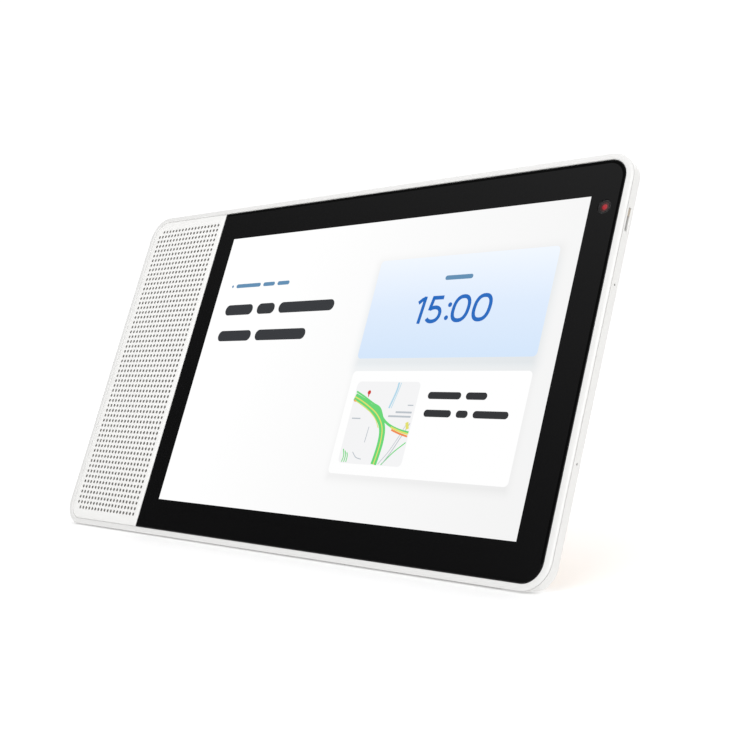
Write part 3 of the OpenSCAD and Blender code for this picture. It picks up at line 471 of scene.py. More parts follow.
cloth_loops = [raised(cloth_outline(inset), z) for inset, z in (
    (0.3, -SHEET_T - 0.02), (0.08, -SHEET_T - 0.08), (0, -SHEET_T - 0.25), (0, CLOTH_BACK))]
grille_cloth_front = solid("grille_cloth_front", np.concatenate(cloth_loops), lidded(4, len(cloth_loops[0])))
finished(grille_cloth_front, cloth, "housing")

# ---- Cover glass ------------------------------------------------------------------------------------------
# One pane of strengthened glass with rounded edges, printed black on its back except over the picture and
# over the camera. Its clear window over the camera is a disc of its own here.
GLASS_X0 = -92.75
PICTURE_X0, PICTURE_X1, PICTURE_Y0, PICTURE_Y1 = -80.3, 138.25, -68.55, 68.15
CAMERA_X, CAMERA_Y = 145.25, 63.15
WINDOW_R = 3.0
EDGE_PRINT, EDGE_ROUND = 1.5, 0.5
BLADE_ROOM = (141.9, 148.6, 53.8, 66.5, -2, -0.36)


def round_loop(cx, cy, r, n=40):
    return np.array([(cx + r * math.cos(2 * math.pi * k / n), cy + r * math.sin(2 * math.pi * k / n))
                     for k in range(n)])


def pane_outline(inset):
    r = PANE_R - inset
    return outline(GLASS_X0 + inset, PANEL_X - inset, -PANEL_Y + inset, PANEL_Y - inset,
                   [0.4, r, r, 0.4], 14)


picture_edge = outline(PICTURE_X0, PICTURE_X1, PICTURE_Y0, PICTURE_Y1, [0.05] * 4, 2)
camera_opening = round_loop(CAMERA_X, CAMERA_Y, WINDOW_R)
pane_rims = [(pane_outline(inset), z) for inset, z in (
    (EDGE_PRINT, 0), (EDGE_ROUND, 0), (0.31, -0.03), (0.15, -0.11), (0.04, -0.26), (0, -0.45), (0, -FACE_T))]
cover_pane = solid("cover_pane", *pierced(pane_rims, [picture_edge, camera_opening]))
shutter_room = solid("shutter_room", *block(*BLADE_ROOM))
carved(cover_pane, shutter_room)
scrap(shutter_room)
black_glass = moulded("black_printed_glass", (0.0039, 0.0039, 0.0041), 0.07, grain=300, depth=0.000001,
                      mottle=0.15, shine=0.22)
finished(cover_pane, black_glass, "housing", ["cover_glass"], crease=60)

# Along the top and the right side a dull, darker black band lies just inside the rounded edge: painted shade
# standing for the dark reflection that the curved edge of the glass shows there.
painted_dark_edge_band = moulded("painted_dark_edge_reflection", (0.002, 0.002, 0.002), 0.5, grain=600, depth=0.000001, mottle=0.2,
                    shine=0.02)
cover_pane.data.materials.append(painted_dark_edge_band)


def in_slab(point):
    """Table metres to slab millimetres."""
    x, y, z = (c * 1000 for c in point)
    y, z = y - SHIFT_Y, z - SHIFT_Z
    return (x, y * math.sin(LEAN) + z * math.cos(LEAN), z * math.sin(LEAN) - y * math.cos(LEAN))


def from_edge(x, y):
    """Distance in from the pane's outline at its top and its right side."""
    cx, cy = PANEL_X - PANE_R, PANEL_Y - PANE_R
    if x > cx and y > cy:
        return PANE_R - math.hypot(x - cx, y - cy)
    return min(PANEL_X - x, PANEL_Y - y)


# Faces on the front just inside the top and right edges take the painted dark band.
for face in cover_pane.data.polygons:
    corners = [in_slab(cover_pane.data.vertices[v].co) for v in face.vertices]
    gaps = [from_edge(x, y) for x, y, z in corners]
    on_face = min(z for x, y, z in corners) > -0.04
    if on_face and max(gaps) < EDGE_PRINT + 0.05 and 0.2 < min(gaps) < EDGE_PRINT / 2:
        face.material_index = 1

# ---- Picture ----------------------------------------------------------------------------------------------
# What the lit panel shows, as thin layers just under and on the face of the glass: a white ground, a timer
# card with big numerals, a road-map card, and rounded bars where lines of writing would be.
PICTURE_SCALE = 1.008
PICTURE_MID = ((PICTURE_X0 + PICTURE_X1) / 2, (PICTURE_Y0 + PICTURE_Y1) / 2)
GROUND_Z, CARD_Z, INK_Z, LAYER = -0.05, -0.02, 0.01, 0.03


def on_picture(points):
    return np.asarray(points, float) * PICTURE_SCALE + PICTURE_MID


def screen_axes(tree):
    """Sockets with x and y in picture millimetres, from the object's own coordinates."""
    where = tree.nodes.new("ShaderNodeTexCoord")
    out = []
    up = (0, math.sin(LEAN), math.cos(LEAN))
    start_y = math.sin(LEAN) * SHIFT_Y + math.cos(LEAN) * SHIFT_Z
    for direction, start, mid in (((1, 0, 0), 0, PICTURE_MID[0]), (up, start_y, PICTURE_MID[1])):
        along = tree.nodes.new("ShaderNodeVectorMath")
        along.operation = "DOT_PRODUCT"
        along.inputs[1].default_value = direction
        tree.links.new(where.outputs["Object"], along.inputs[0])
        moved = tree.nodes.new("ShaderNodeMath")
        moved.operation = "MULTIPLY_ADD"
        moved.inputs[1].default_value = 1000 / PICTURE_SCALE
        moved.inputs[2].default_value = -(start + mid) / PICTURE_SCALE
        tree.links.new(along.outputs["Value"], moved.inputs[0])
        out.append(moved.outputs[0])
    return out


def worked(tree, operation, a, b=None, clamp=False):
    """One sum on sockets or plain numbers."""
    node = tree.nodes.new("ShaderNodeMath")
    node.operation = operation
    node.use_clamp = clamp
    for socket, value in zip(node.inputs, (a, b)):
        if value is None:
            continue
        if isinstance(value, (int, float)):
            socket.default_value = value
        else:
            tree.links.new(value, socket)
    return node.outputs[0]


def glowing(name, colour, strength=1.0):
    """A patch of lit picture under glossy glass. Returns the material, its tree and its shader."""
    mat = bpy.data.materials.new(name)
    mat.use_nodes = True
    shader = mat.node_tree.nodes["Principled BSDF"]
    shader.inputs["Base Color"].default_value = (0.01, 0.01, 0.01, 1)
    shader.inputs["Specular IOR Level"].default_value = 0.22
    shader.inputs["Emission Color"].default_value = (*colour, 1)
    shader.inputs["Emission Strength"].default_value = strength
    where = mat.node_tree.nodes.new("ShaderNodeTexCoord")
    smear = mat.node_tree.nodes.new("ShaderNodeTexNoise")
    smear.inputs["Scale"].default_value = 14
    gloss = mat.node_tree.nodes.new("ShaderNodeMapRange")
    gloss.inputs["To Min"].default_value = 0.06
    gloss.inputs["To Max"].default_value = 0.09
    mat.node_tree.links.new(where.outputs["Object"], smear.inputs["Vector"])
    mat.node_tree.links.new(smear.outputs["Fac"], gloss.inputs["Value"])
    mat.node_tree.links.new(gloss.outputs["Result"], shader.inputs["Roughness"])
    return mat, mat.node_tree, shader


def linear(r, g, b):
    """Screen values from 0 to 255 as light."""
    return tuple(((c / 255 + 0.055) / 1.055) ** 2.4 if c > 10 else c / 255 / 12.92 for c in (r, g, b))


def tile(loop, top, thick=LAYER):
    """A thin flat patch with the given outline."""
    n = len(loop)
    pts = np.concatenate([raised(loop, top), raised(loop, top - thick)])
    return pts, [tuple(range(n)), tuple(range(2 * n - 1, n - 1, -1))] + skin(2, n)


def stroke(points, width, top, closed=False, thick=LAYER):
    """A line of even or changing width as a thin flat patch."""
    p = np.asarray(points, float)
    w = np.broadcast_to(np.asarray(width, float), len(p))[:, None] / 2
    ahead, behind = np.roll(p, -1, 0), np.roll(p, 1, 0)
    if not closed:
        ahead[-1], behind[0] = p[-1], p[0]
    along = ahead - behind
    along /= np.linalg.norm(along, axis=1)[:, None]
    side = np.column_stack([-along[:, 1], along[:, 0]]) * w
    left, right = p + side, p - side
    n = len(p)
    pts = np.concatenate([np.stack([raised(right, top), raised(left, top), raised(left, top - thick),
                                    raised(right, top - thick)], 1).reshape(-1, 3)])
    faces = skin(n, 4, round_rows=closed)
    if not closed:
        faces += [(3, 2, 1, 0), tuple(4 * (n - 1) + k for k in range(4))]
    return pts, faces


def eased(points, steps=6):
    """A smooth line through chosen points."""
    p = np.asarray(points, float)
    q = np.vstack([2 * p[0] - p[1], p, 2 * p[-1] - p[-2]])
    out = []
    for i in range(1, len(q) - 2):
        for k in range(steps):
            t = k / steps
            out.append(0.5 * (2 * q[i] + (q[i + 1] - q[i - 1]) * t
                              + (2 * q[i - 1] - 5 * q[i] + 4 * q[i + 1] - q[i + 2]) * t * t
                              + (3 * q[i] - q[i - 1] - 3 * q[i + 1] + q[i + 2]) * t ** 3))
    return np.array(out + [p[-1]])


def shown(name, solids, finish):
    return finished(solid(name, *together(solids)), finish, "housing", crease=20)


def soft_shadow(tree, x, y, card, blur):
    """How much a card's soft shadow covers at a point: 1 under the card, falling to 0 at blur."""
    x0, x1, y0, y1 = card
    dx = worked(tree, "SUBTRACT", worked(tree, "ABSOLUTE", worked(tree, "SUBTRACT", x, (x0 + x1) / 2)),
                (x1 - x0) / 2)
    dy = worked(tree, "SUBTRACT", worked(tree, "ABSOLUTE", worked(tree, "SUBTRACT", y, (y0 + y1) / 2)),
                (y1 - y0) / 2)
    dx, dy = worked(tree, "MAXIMUM", dx, 0), worked(tree, "MAXIMUM", dy, 0)
    far = worked(tree, "SQRT", worked(tree, "ADD", worked(tree, "MULTIPLY", dx, dx),
                                      worked(tree, "MULTIPLY", dy, dy)))
    near = worked(tree, "SUBTRACT", 1, worked(tree, "DIVIDE", far, blur), clamp=True)
    return worked(tree, "MULTIPLY", near, near)


TIMER_CARD = (2.8, 99.1, 2.7, 48.1)
MAP_CARD = (2.8, 99.1, -48.3, -3.0)
ground_paint, tree, shader = glowing("picture_white", (1, 1, 1))
px, py = screen_axes(tree)
fall = worked(tree, "ADD", worked(tree, "MULTIPLY", px, 0.0005), worked(tree, "MULTIPLY", py, -0.00012))
level = worked(tree, "SUBTRACT", 0.955, fall)
for card, strength, drop, blur in ((TIMER_CARD, 0.10, 2.2, 7.0), (MAP_CARD, 0.07, 1.5, 5.0)):
    lower = (card[0] + 1, card[1] - 1, card[2] - drop, card[3] - drop)
    shade = soft_shadow(tree, px, py, lower, blur)
    level = worked(tree, "SUBTRACT", level, worked(tree, "MULTIPLY", shade, strength))
tint = tree.nodes.new("ShaderNodeCombineColor")
blue_shade = soft_shadow(tree, px, py, (TIMER_CARD[0] + 2, TIMER_CARD[1] - 2, TIMER_CARD[2] - 3, 40), 8)
for channel, taken in (("Red", 0.05), ("Green", 0.02)):
    dimmed = worked(tree, "SUBTRACT", level, worked(tree, "MULTIPLY", blue_shade, taken))
    tree.links.new(dimmed, tint.inputs[channel])
tree.links.new(level, tint.inputs["Blue"])
tree.links.new(tint.outputs[0], shader.inputs["Emission Color"])
GROUND_GAP, GROUND_T = 0.02, 0.9
ground_loop = outline(PICTURE_X0 + GROUND_GAP, PICTURE_X1 - GROUND_GAP, PICTURE_Y0 + GROUND_GAP,
                      PICTURE_Y1 - GROUND_GAP, [0.05] * 4, 2)
shown("picture_ground", [tile(ground_loop, GROUND_Z, GROUND_T)], ground_paint)


def card_loop(card, r):
    low, high = on_picture((card[0], card[2])), on_picture((card[1], card[3]))
    return outline(low[0], high[0], low[1], high[1], [r] * 4, 8)


card_blue, tree, shader = glowing("picture_card_blue", linear(222, 235, 252))
px, py = screen_axes(tree)
ramp = tree.nodes.new("ShaderNodeValToRGB")
ramp.color_ramp.elements[0].color = (*linear(211, 229, 250), 1)
ramp.color_ramp.elements[1].color = (*linear(240, 246, 254), 1)
middle = ramp.color_ramp.elements.new(0.5)
middle.color = (*linear(222, 235, 252), 1)
tree.links.new(worked(tree, "DIVIDE", worked(tree, "SUBTRACT", py, TIMER_CARD[2]),
                      TIMER_CARD[3] - TIMER_CARD[2]), ramp.inputs["Fac"])
tree.links.new(ramp.outputs["Color"], shader.inputs["Emission Color"])
shown("picture_timer_card", [tile(card_loop(TIMER_CARD, 2.0), CARD_Z)], card_blue)
card_white = glowing("picture_card_white", (0.985, 0.985, 0.985))[0]
shown("picture_map_card", [tile(card_loop(MAP_CARD, 2.0), CARD_Z)], card_white)

# The timer's numerals: even strokes with square ends, leaning a little to the right.
DIGIT_LOW, DIGIT_HIGH, DIGIT_PEN, DIGIT_SLANT = 17.8, 30.0, 1.75, 0.10
digit_paint = glowing("picture_numeral_blue", linear(25, 103, 190))[0]


def written(points, closed=False, pen=DIGIT_PEN):
    p = np.asarray(points, float)
    p = np.column_stack([p[:, 0] + (p[:, 1] - DIGIT_LOW) * DIGIT_SLANT - 0.6, p[:, 1]])
    return stroke(on_picture(p), pen, INK_Z, closed)


def oval(cx, cy, rx, ry, a0=0, a1=360, n=36, squareness=2.4):
    pts = []
    for k in range(n if a1 - a0 >= 360 else n + 1):
        a = math.radians(a0 + (a1 - a0) * k / n)
        c, s = math.cos(a), math.sin(a)
        pts.append((cx + rx * math.copysign(abs(c) ** (2 / squareness), c),
                    cy + ry * math.copysign(abs(s) ** (2 / squareness), s)))
    return pts


half_pen = DIGIT_PEN / 2
digit_mid = (DIGIT_LOW + DIGIT_HIGH) / 2
digit_reach = (DIGIT_HIGH - DIGIT_LOW) / 2 - half_pen
five_bowl = oval(41.1, DIGIT_LOW + half_pen + 3.05, 3.5, 3.1, 132, -148, 26, 2.2)
numerals = [
    written([(34.1, DIGIT_LOW), (34.1, DIGIT_HIGH - 0.1)]),
    written([(30.9, DIGIT_HIGH - 2.9), (32.7, DIGIT_HIGH - 1.45), (34.4, DIGIT_HIGH - 0.8)]),
    written([(38.2, DIGIT_HIGH - half_pen), (44.3, DIGIT_HIGH - half_pen)]),
    written([(38.95, DIGIT_HIGH - 0.2), (38.35, digit_mid - 0.35)]),
    written(five_bowl),
    written(oval(55.4, digit_mid, 3.95, digit_reach), closed=True),
    written(oval(66.5, digit_mid, 3.95, digit_reach), closed=True),
]
for up in (2.2, 7.9):
    dot = oval(48.3 + up * DIGIT_SLANT, DIGIT_LOW + up, 1.05, 1.05, squareness=2, n=20)
    numerals.append(tile(on_picture(dot), INK_Z))
shown("picture_numerals", numerals, digit_paint)


def bar(x0, x1, y0, y1):
    """A rounded bar where a word would be."""
    low, high = on_picture((x0, y0)), on_picture((x1, y1))
    return tile(outline(low[0], high[0], low[1], high[1], [(high[1] - low[1]) / 2] * 4, 6), INK_Z)


title_paint = glowing("picture_title_ink", linear(48, 50, 54))[0]
words = [bar(x0, x1, 26.0, 31.4) for x0, x1 in ((-98.6, -77.9), (-74.6, -61.8), (-58.8, -20.9))]
words += [bar(x0, x1, 12.5, 17.9) for x0, x1 in ((-98.6, -73.9), (-70.6, -35.2))]
shown("picture_title_bars", words, title_paint)
phrase_paint = glowing("picture_phrase_ink", linear(42, 43, 46))[0]
phrases = [bar(x0, x1, -14.9, -11.9) for x0, x1 in ((49.0, 66.5), (69.0, 79.7))]
phrases += [bar(x0, x1, -22.4, -19.4) for x0, x1 in ((49.0, 63.4), (66.0, 72.0), (74.6, 92.1))]
shown("picture_phrase_bars", phrases, phrase_paint)
caption_paint = glowing("picture_caption_blue", linear(96, 141, 178))[0]
captions = [bar(x0, x1, 40.4, 42.4) for x0, x1 in ((-95.4, -77.0), (-75.0, -66.6), (-64.6, -56.1))]
captions.append(tile(on_picture(oval(-98.2, 41.4, 0.7, 0.7, squareness=2, n=16)), INK_Z))
captions.append(bar(42.9, 57.9, 36.9, 38.9))
shown("picture_caption_bars", captions, caption_paint)

# The road map: pale ground, a wide green road that forks, thin side roads and a pin.
MAP = (7.25, 43.7, -43.7, -7.7)


def on_map(points):
    """Shares of the map's width and depth, from its upper left, to picture millimetres."""
    p = np.asarray(points, float)
    return on_picture(np.column_stack([MAP[0] + p[:, 0] * (MAP[1] - MAP[0]),
                                       MAP[3] - p[:, 1] * (MAP[3] - MAP[2])]))


def road(points, width, level=0, smooth=True):
    p = on_map(points)
    return stroke(eased(p) if smooth else p, width, INK_Z + 0.006 * level + 0.006)


low, high = on_picture((MAP[0], MAP[2])), on_picture((MAP[1], MAP[3]))
shown("picture_map_ground", [tile(outline(low[0], high[0], low[1], high[1], [2.2] * 4, 8), INK_Z)],
      glowing("picture_map_grey", linear(243, 243, 244))[0])
main_road = [(0.012, 0.19), (0.13, 0.235), (0.27, 0.30), (0.42, 0.385), (0.53, 0.49), (0.585, 0.60),
             (0.60, 0.74), (0.59, 0.88), (0.575, 0.992)]
fork = [(0.33, 0.27), (0.47, 0.36), (0.56, 0.455), (0.68, 0.525), (0.84, 0.575), (0.99, 0.60)]
slip_road = [(0.02, 0.125), (0.15, 0.18), (0.33, 0.265), (0.45, 0.315), (0.52, 0.40), (0.58, 0.52)]
greens = [road(main_road, 3.3), road(fork, 1.1, 1), road(slip_road, 0.8)]
for k in range(3):
    lane = [(0.04 + 0.035 * k, 0.83 + 0.02 * k), (0.07 + 0.03 * k, 0.91), (0.06 + 0.035 * k, 0.985)]
    greens.append(road(lane, 0.5))
greens += [road([(0.69, 0.99), (0.83, 0.84), (0.985, 0.715)], 0.5)]
shown("picture_roads_green", greens, glowing("picture_road_green", linear(103, 214, 118))[0])
shown("picture_roads_light", [
    road(main_road, 0.55, 2),
    road([(0.02, 0.235), (0.15, 0.285), (0.30, 0.36), (0.43, 0.455), (0.51, 0.56)], 0.4, 2),
    road([(0.70, 0.545), (0.85, 0.59), (0.985, 0.617)], 0.8, 2),
    road([(0.93, 0.48), (0.96, 0.56)], 1.6, 1, False)],
    glowing("picture_road_yellow", linear(226, 222, 108))[0])
shown("picture_roads_orange", [road([(0.72, 0.575), (0.85, 0.615), (0.985, 0.645)], 0.8, 1),
                               road([(0.012, 0.232), (0.045, 0.245)], 0.9, 2, False)],
      glowing("picture_road_orange", linear(240, 138, 74))[0])
shown("picture_roads_grey", [
    road([(0.70, 0.985), (0.80, 0.83), (0.90, 0.64), (0.98, 0.49)], 0.45),
    road([(0.64, 0.985), (0.76, 0.83), (0.87, 0.63), (0.93, 0.50)], 0.35),
    road([(0.20, 0.86), (0.27, 0.92), (0.36, 0.94)], 0.4),
    road([(0.36, 0.55), (0.35, 0.74)], 0.4, 0, False),
    road([(0.05, 0.455), (0.19, 0.455)], 0.55, 0, False),
    road([(0.72, 0.365), (0.965, 0.365)], 0.8, 0, False),
    road([(0.62, 0.415), (0.965, 0.415)], 0.8, 0, False),
    road([(0.88, 0.28), (0.965, 0.28)], 0.5, 0, False)],
    glowing("picture_road_grey", linear(186, 193, 200))[0])
shown("picture_river", [road([(0.665, 0.01), (0.655, 0.12), (0.60, 0.32)], 0.9),
                        road([(0.70, 0.012), (0.685, 0.10), (0.635, 0.32)], 0.35)],
      glowing("picture_river_blue", linear(176, 214, 232))[0])
pin_top = on_map([(0.227, 0.134)])[0]
shown("picture_pin", [tile(round_loop(pin_top[0], pin_top[1], 0.95, 20), INK_Z + 0.02),
                      stroke([pin_top - (0, 0.7), pin_top - (0, 2.2)], [0.9, 0.15], INK_Z + 0.02)],
      glowing("picture_pin_red", linear(205, 52, 44))[0])

# ---- Camera and privacy shutter ---------------------------------------------------------------------------
# A clear disc over the camera shows a sliding blade with a red dot when the shutter is shut, and the lens
# when it is open. A beige knob in the side slot pushes the blade up and down.
window_glass = moulded("camera_window_glass", (0.02, 0.02, 0.022), 0.05, grain=200, depth=0.000001,
                       mottle=0.1)
window_glass.node_tree.nodes["Principled BSDF"].inputs["Alpha"].default_value = 0.16
camera_window = solid("camera_window", *pierced(
    [(round_loop(CAMERA_X, CAMERA_Y, WINDOW_R - i), z) for i, z in
     ((0.09, -0.02), (0.03, -0.04), (0.01, -0.09), (0.01, -0.28))], []))
finished(camera_window, window_glass, "housing", crease=60)


def turned(section, cx, cy, n=40):
    """A ring turned about a line straight out of the glass; section is (radius, z) pairs in order."""
    rows = [raised(round_loop(cx, cy, r, n), z) for r, z in section]
    return np.concatenate(rows), skin(len(rows), n, round_rows=True)


def cap_disc(r, top, low, cx=CAMERA_X, cy=CAMERA_Y, n=40):
    """A thin round plate with a softened edge."""
    rows = [raised(round_loop(cx, cy, q, n), z)
            for q, z in ((r - 0.02, top), (r, top - 0.01), (r, low))]
    return np.concatenate(rows), lidded(3, n)


soft_black = moulded("soft_black_plastic", (0.018, 0.018, 0.019), 0.55, grain=1200, mottle=0.2)
BLADE_HALF, BLADE_TOP, BLADE_LOW = 3.1, -0.47, -0.87
ARM_X0, ARM_X1, ARM_Y0, ARM_Y1, ARM_LOW, ARM_TOP = CAMERA_X + 1.2, 153.3, 60.05, 62.2, -1.7, -1.3
INK_T, MARK_R, HALO_R = 0.03, 1.15, 2.05
blade_loop = outline(CAMERA_X - BLADE_HALF, CAMERA_X + BLADE_HALF, CAMERA_Y - BLADE_HALF,
                     CAMERA_Y + BLADE_HALF, [0.5] * 4, 5)
blade_paint = moulded("shutter_blade_black", (0.030, 0.028, 0.027), 0.45, grain=1500, mottle=0.2)
shutter_blade = solid("shutter_blade_formed", *together([
    tile(blade_loop, BLADE_TOP, BLADE_TOP - BLADE_LOW),
    block(ARM_X0, CAMERA_X + BLADE_HALF, ARM_Y0, ARM_Y1, ARM_LOW, BLADE_LOW),
    block(ARM_X0, ARM_X1, ARM_Y0, ARM_Y1, ARM_LOW, ARM_TOP)]))
finished(shutter_blade, blade_paint, "shutter", ["shutter_blade"])
# A brown disc on the blade round the red dot, a little wider than the dot.
halo_brown_finish = moulded("shutter_halo_brown", (0.105, 0.024, 0.022), 0.5, grain=1500, mottle=0.2)
shutter_halo = solid("shutter_halo_disc", *cap_disc(HALO_R, BLADE_TOP + INK_T, BLADE_TOP))
finished(shutter_halo, halo_brown_finish, "shutter")
glowing_red_mark = moulded("shutter_red_mark_painted_glow", (0.60, 0.020, 0.035), 0.4, grain=1500, mottle=0.15)
# The printed red dot is also made to glow faintly. This glow is painted light, since the dot is no lamp.
glow_mark_shader = glowing_red_mark.node_tree.nodes["Principled BSDF"]
glow_mark_shader.inputs["Emission Color"].default_value = (0.6, 0.02, 0.03, 1)
glow_mark_shader.inputs["Emission Strength"].default_value = 0.2
shutter_mark = solid("printed_glowing_shutter_mark", *cap_disc(MARK_R, BLADE_TOP + 2 * INK_T, BLADE_TOP + INK_T))
finished(shutter_mark, glowing_red_mark, "shutter", ["shutter_mark"])
aperture_ring = solid("aperture_ring", *turned(
    [(2.02, -0.30), (2.06, -0.29), (2.14, -0.29), (2.18, -0.30), (2.18, -0.34), (2.02, -0.34)],
    CAMERA_X, CAMERA_Y))
finished(aperture_ring, soft_black, "housing")
dress(soft_black, "camera_sleeve", "camera_module", "light_sensor", "glass_adhesive")
lens_coat = moulded("lens_coating", (0.02, 0.022, 0.06), 0.05, grain=200, depth=0.000001, mottle=0.3,
                    coat=0.8)
dress(lens_coat, "camera_lens")

KNOB_TOP, KNOB_LONG, KNOB_Z, KNOB_W, KNOB_OUT = 62.5, 3.1, -2.5, 1.2, 155.25
RIB_PITCH, RIB_HALF = 0.7, 0.12


def cushion_box(x0, x1, y0, y1, z0, z1, r, axis):
    """A block whose outer end, along x or y, has rounded edges."""
    long = (x1 - x0) if axis == "x" else (y1 - y0)
    rows = []
    for a in (None, 0, 30, 60, 90):
        inset = 0 if a is None else r * (1 - math.cos(math.radians(a)))
        out = 0 if a is None else long - r + r * math.sin(math.radians(a))
        if axis == "x":
            flat = outline(y0 + inset, y1 - inset, z0 + inset, z1 - inset, [0.35 - inset] * 4, 4)
            rows.append(np.column_stack([np.full(len(flat), x0 + out), flat[:, 0], flat[:, 1]]))
        else:
            flat = outline(x0 + inset, x1 - inset, z0 + inset, z1 - inset, [0.6 - inset] * 4, 6)
            rows.append(np.column_stack([flat[:, 0], np.full(len(flat), y0 + out), flat[:, 1]]))
    return np.concatenate(rows), lidded(len(rows), len(rows[0]))


knob_parts = [cushion_box(ARM_X1, KNOB_OUT, KNOB_TOP - KNOB_LONG, KNOB_TOP, KNOB_Z - KNOB_W / 2,
                          KNOB_Z + KNOB_W / 2, 0.22, "x"),
              block(ARM_X1 - 1, ARM_X1, ARM_Y0, ARM_Y1, KNOB_Z - KNOB_W / 2, ARM_LOW)]
for k in (-1, 0, 1):
    rib_y = KNOB_TOP - KNOB_LONG / 2 + k * RIB_PITCH
    knob_parts.append(block(KNOB_OUT - 0.1, KNOB_OUT + 0.1, rib_y - RIB_HALF, rib_y + RIB_HALF,
                            KNOB_Z - 0.45, KNOB_Z + 0.45))
shutter_knob = solid("shutter_knob_moulded", *together(knob_parts))
knob_beige = moulded("knob_beige", (0.52, 0.45, 0.37), 0.45, grain=1500, mottle=0.06)
finished(shutter_knob, knob_beige, "shutter", ["shutter_knob"])

# ---- Rear shell -------------------------------------------------------------------------------------------
# The white back: a thin moulded shell that starts at the seam behind the rim, crowns over the slab and
# sweeps out into the wedge it stands on. Slots and holes are cut where the buttons, knob and microphones
# are. The speaker end is a cap of its own. Both get their finish once the inlet's well is cut.
EDGE_T, MID_T, CROWN_W = 5.0, 13.0, 24.0
TOP_IN, EASE, SWEEP_X, SWEEP_POWER, SLOPE = 8.0, 20.0, 117.7, 2.2, 1.32718
SOLE_IN = 0.6
END_LEAN = math.radians(12)
SHELL_TOP = -0.56
CAP_T = 3.0
WHITE_SHELL = (0.80, 0.795, 0.78)


def back_depth(x, y):
    """Depth of the back behind the glass, before the underside cuts it."""
    def crown(u):
        return 1 - (1 - np.clip(u / CROWN_W, 0, 1)) ** 2
    u = HALF_H - TOP_IN - y
    run = np.where(u <= 0, 0, np.where(u < EASE, u * u / (2 * EASE), u - EASE / 2))
    sweep = np.maximum(0, (SWEEP_X - x) / (SWEEP_X + HALF_W)) ** SWEEP_POWER
    return EDGE_T + (MID_T - EDGE_T) * crown(HALF_W - x) * crown(HALF_H - np.abs(y)) + SLOPE * sweep * run


def underside(y, up=0.0):
    """Depth at which the flat underside, raised by up, is reached at y."""
    return SOLE_IN + (y + HALF_H) / math.tan(LEAN) - up / math.sin(LEAN)


def ridge_y(x, up=0.0, low=-HALF_H, high=HALF_H):
    """Where the back meets the underside, column by column."""
    a, b = np.full(np.shape(x), low, float), np.full(np.shape(x), high, float)
    for _ in range(40):
        m = (a + b) / 2
        under = underside(m, up) > back_depth(x, m)
        b, a = np.where(under, m, b), np.where(under, a, m)
    return (a + b) / 2


def soft_min(a, b, k):
    h = np.maximum(k - np.abs(a - b), 0) / k
    return np.minimum(a, b) - h * h * k / 4


def corner_y(x, half_w, half_h, r):
    """Half height of the rounded outline at x."""
    u = np.clip(np.abs(x) - (half_w - r), 0, r)
    return half_h - r + np.sqrt(np.maximum(r * r - u * u, 0))


def lofted_back(inset, skin_t, up, front_z, edge_r, blend, across=64, upward=44):
    """All of the back behind front_z, moved in by inset at the sides, skin_t behind and up below."""
    hw, hh, r = HALF_W - inset, HALF_H - inset, CORNER_R - inset
    arc = [r * (1 - math.cos(math.radians(a))) for a in np.linspace(0, 90, 13)]
    near = sorted(set([0, 0.12, 0.34, 0.68, 1.1] + arc[2:] + [15, 19]))
    xs = np.array([-hw + u for u in near] + list(np.linspace(-hw + 23, hw - 23, across))
                  + [hw - u for u in near[::-1]])
    top = corner_y(xs, hw, hh, r)
    bottom = -top
    ridge = np.maximum(ridge_y(xs, up, -hh, hh), bottom + 3.4)
    ends = np.array([0, 0.12, 0.34, 0.68, 1.1, 1.9])
    by_ridge = np.array([0.25, 0.6, 1.1, 1.7])

    def fill(a, b, n):
        return [a + (b - a) * t for t in np.linspace(0, 1, n + 2)[1:-1]]
    ys = [bottom + e / 1.2 for e in ends]
    ys += fill(ys[-1], ridge - 1.7, 10) + [ridge - e for e in by_ridge[::-1]] + [ridge]
    ys += [ridge + e for e in by_ridge]
    ys += fill(ys[-1], top - 24, upward // 2)
    ys += [top - 24 + 22.1 * t for t in np.linspace(0, 1, upward // 2)]
    ys += [top - e for e in ends[::-1][1:]]
    ys = np.array(ys)
    x_grid = np.tile(xs, (len(ys), 1))
    far = np.clip((xs + hw - 25) / 120, 0, 1)
    tilt = math.tan(END_LEAN) * (1 - far * far * (3 - 2 * far))
    to_side = np.minimum(xs + hw, hw - xs)[None, :]
    to_edge = np.abs(np.minimum(to_side, np.minimum(top[None, :] - ys, ys - bottom[None, :])))
    fallen = edge_r - np.sqrt(np.maximum(edge_r ** 2 - (edge_r - to_edge) ** 2, 0))
    round_off = np.where(to_edge < edge_r, fallen, 0)
    depth = np.full(ys.shape, EDGE_T)
    for _ in range(30):
        x_now = x_grid + tilt * np.maximum(depth - EDGE_T, 0)
        raw = soft_min(back_depth(x_now, ys) - skin_t, underside(ys, up), blend)
        depth = np.maximum(raw - round_off * np.clip((raw - 1.2) / 2.5, 0, 1), 0.05 - front_z)
    x_now = x_grid + tilt * np.maximum(depth - EDGE_T, 0)
    n_y, n_x = ys.shape
    points = [(x_now[i, j], ys[i, j], -depth[i, j]) for i in range(n_y) for j in range(n_x)]
    faces = [(i * n_x + j, i * n_x + j + 1, (i + 1) * n_x + j + 1, (i + 1) * n_x + j)
             for i in range(n_y - 1) for j in range(n_x - 1)]
    rim = ([(0, j) for j in range(n_x - 1)] + [(i, n_x - 1) for i in range(n_y - 1)]
           + [(n_y - 1, j) for j in range(n_x - 1, 0, -1)] + [(i, 0) for i in range(n_y - 1, 0, -1)])
    previous = [i * n_x + j for i, j in rim]
    for step in (1, 2):
        ring = []
        for i, j in rim:
            z = -min(depth[i, j], EDGE_T) if step == 1 else front_z
            ring.append(len(points))
            points.append((x_grid[i, j], ys[i, j], z))
        for k in range(len(rim)):
            m = (k + 1) % len(rim)
            faces.append((previous[k], previous[m], ring[m], ring[k]))
        previous = ring
    faces.append(tuple(previous))
    return points, faces


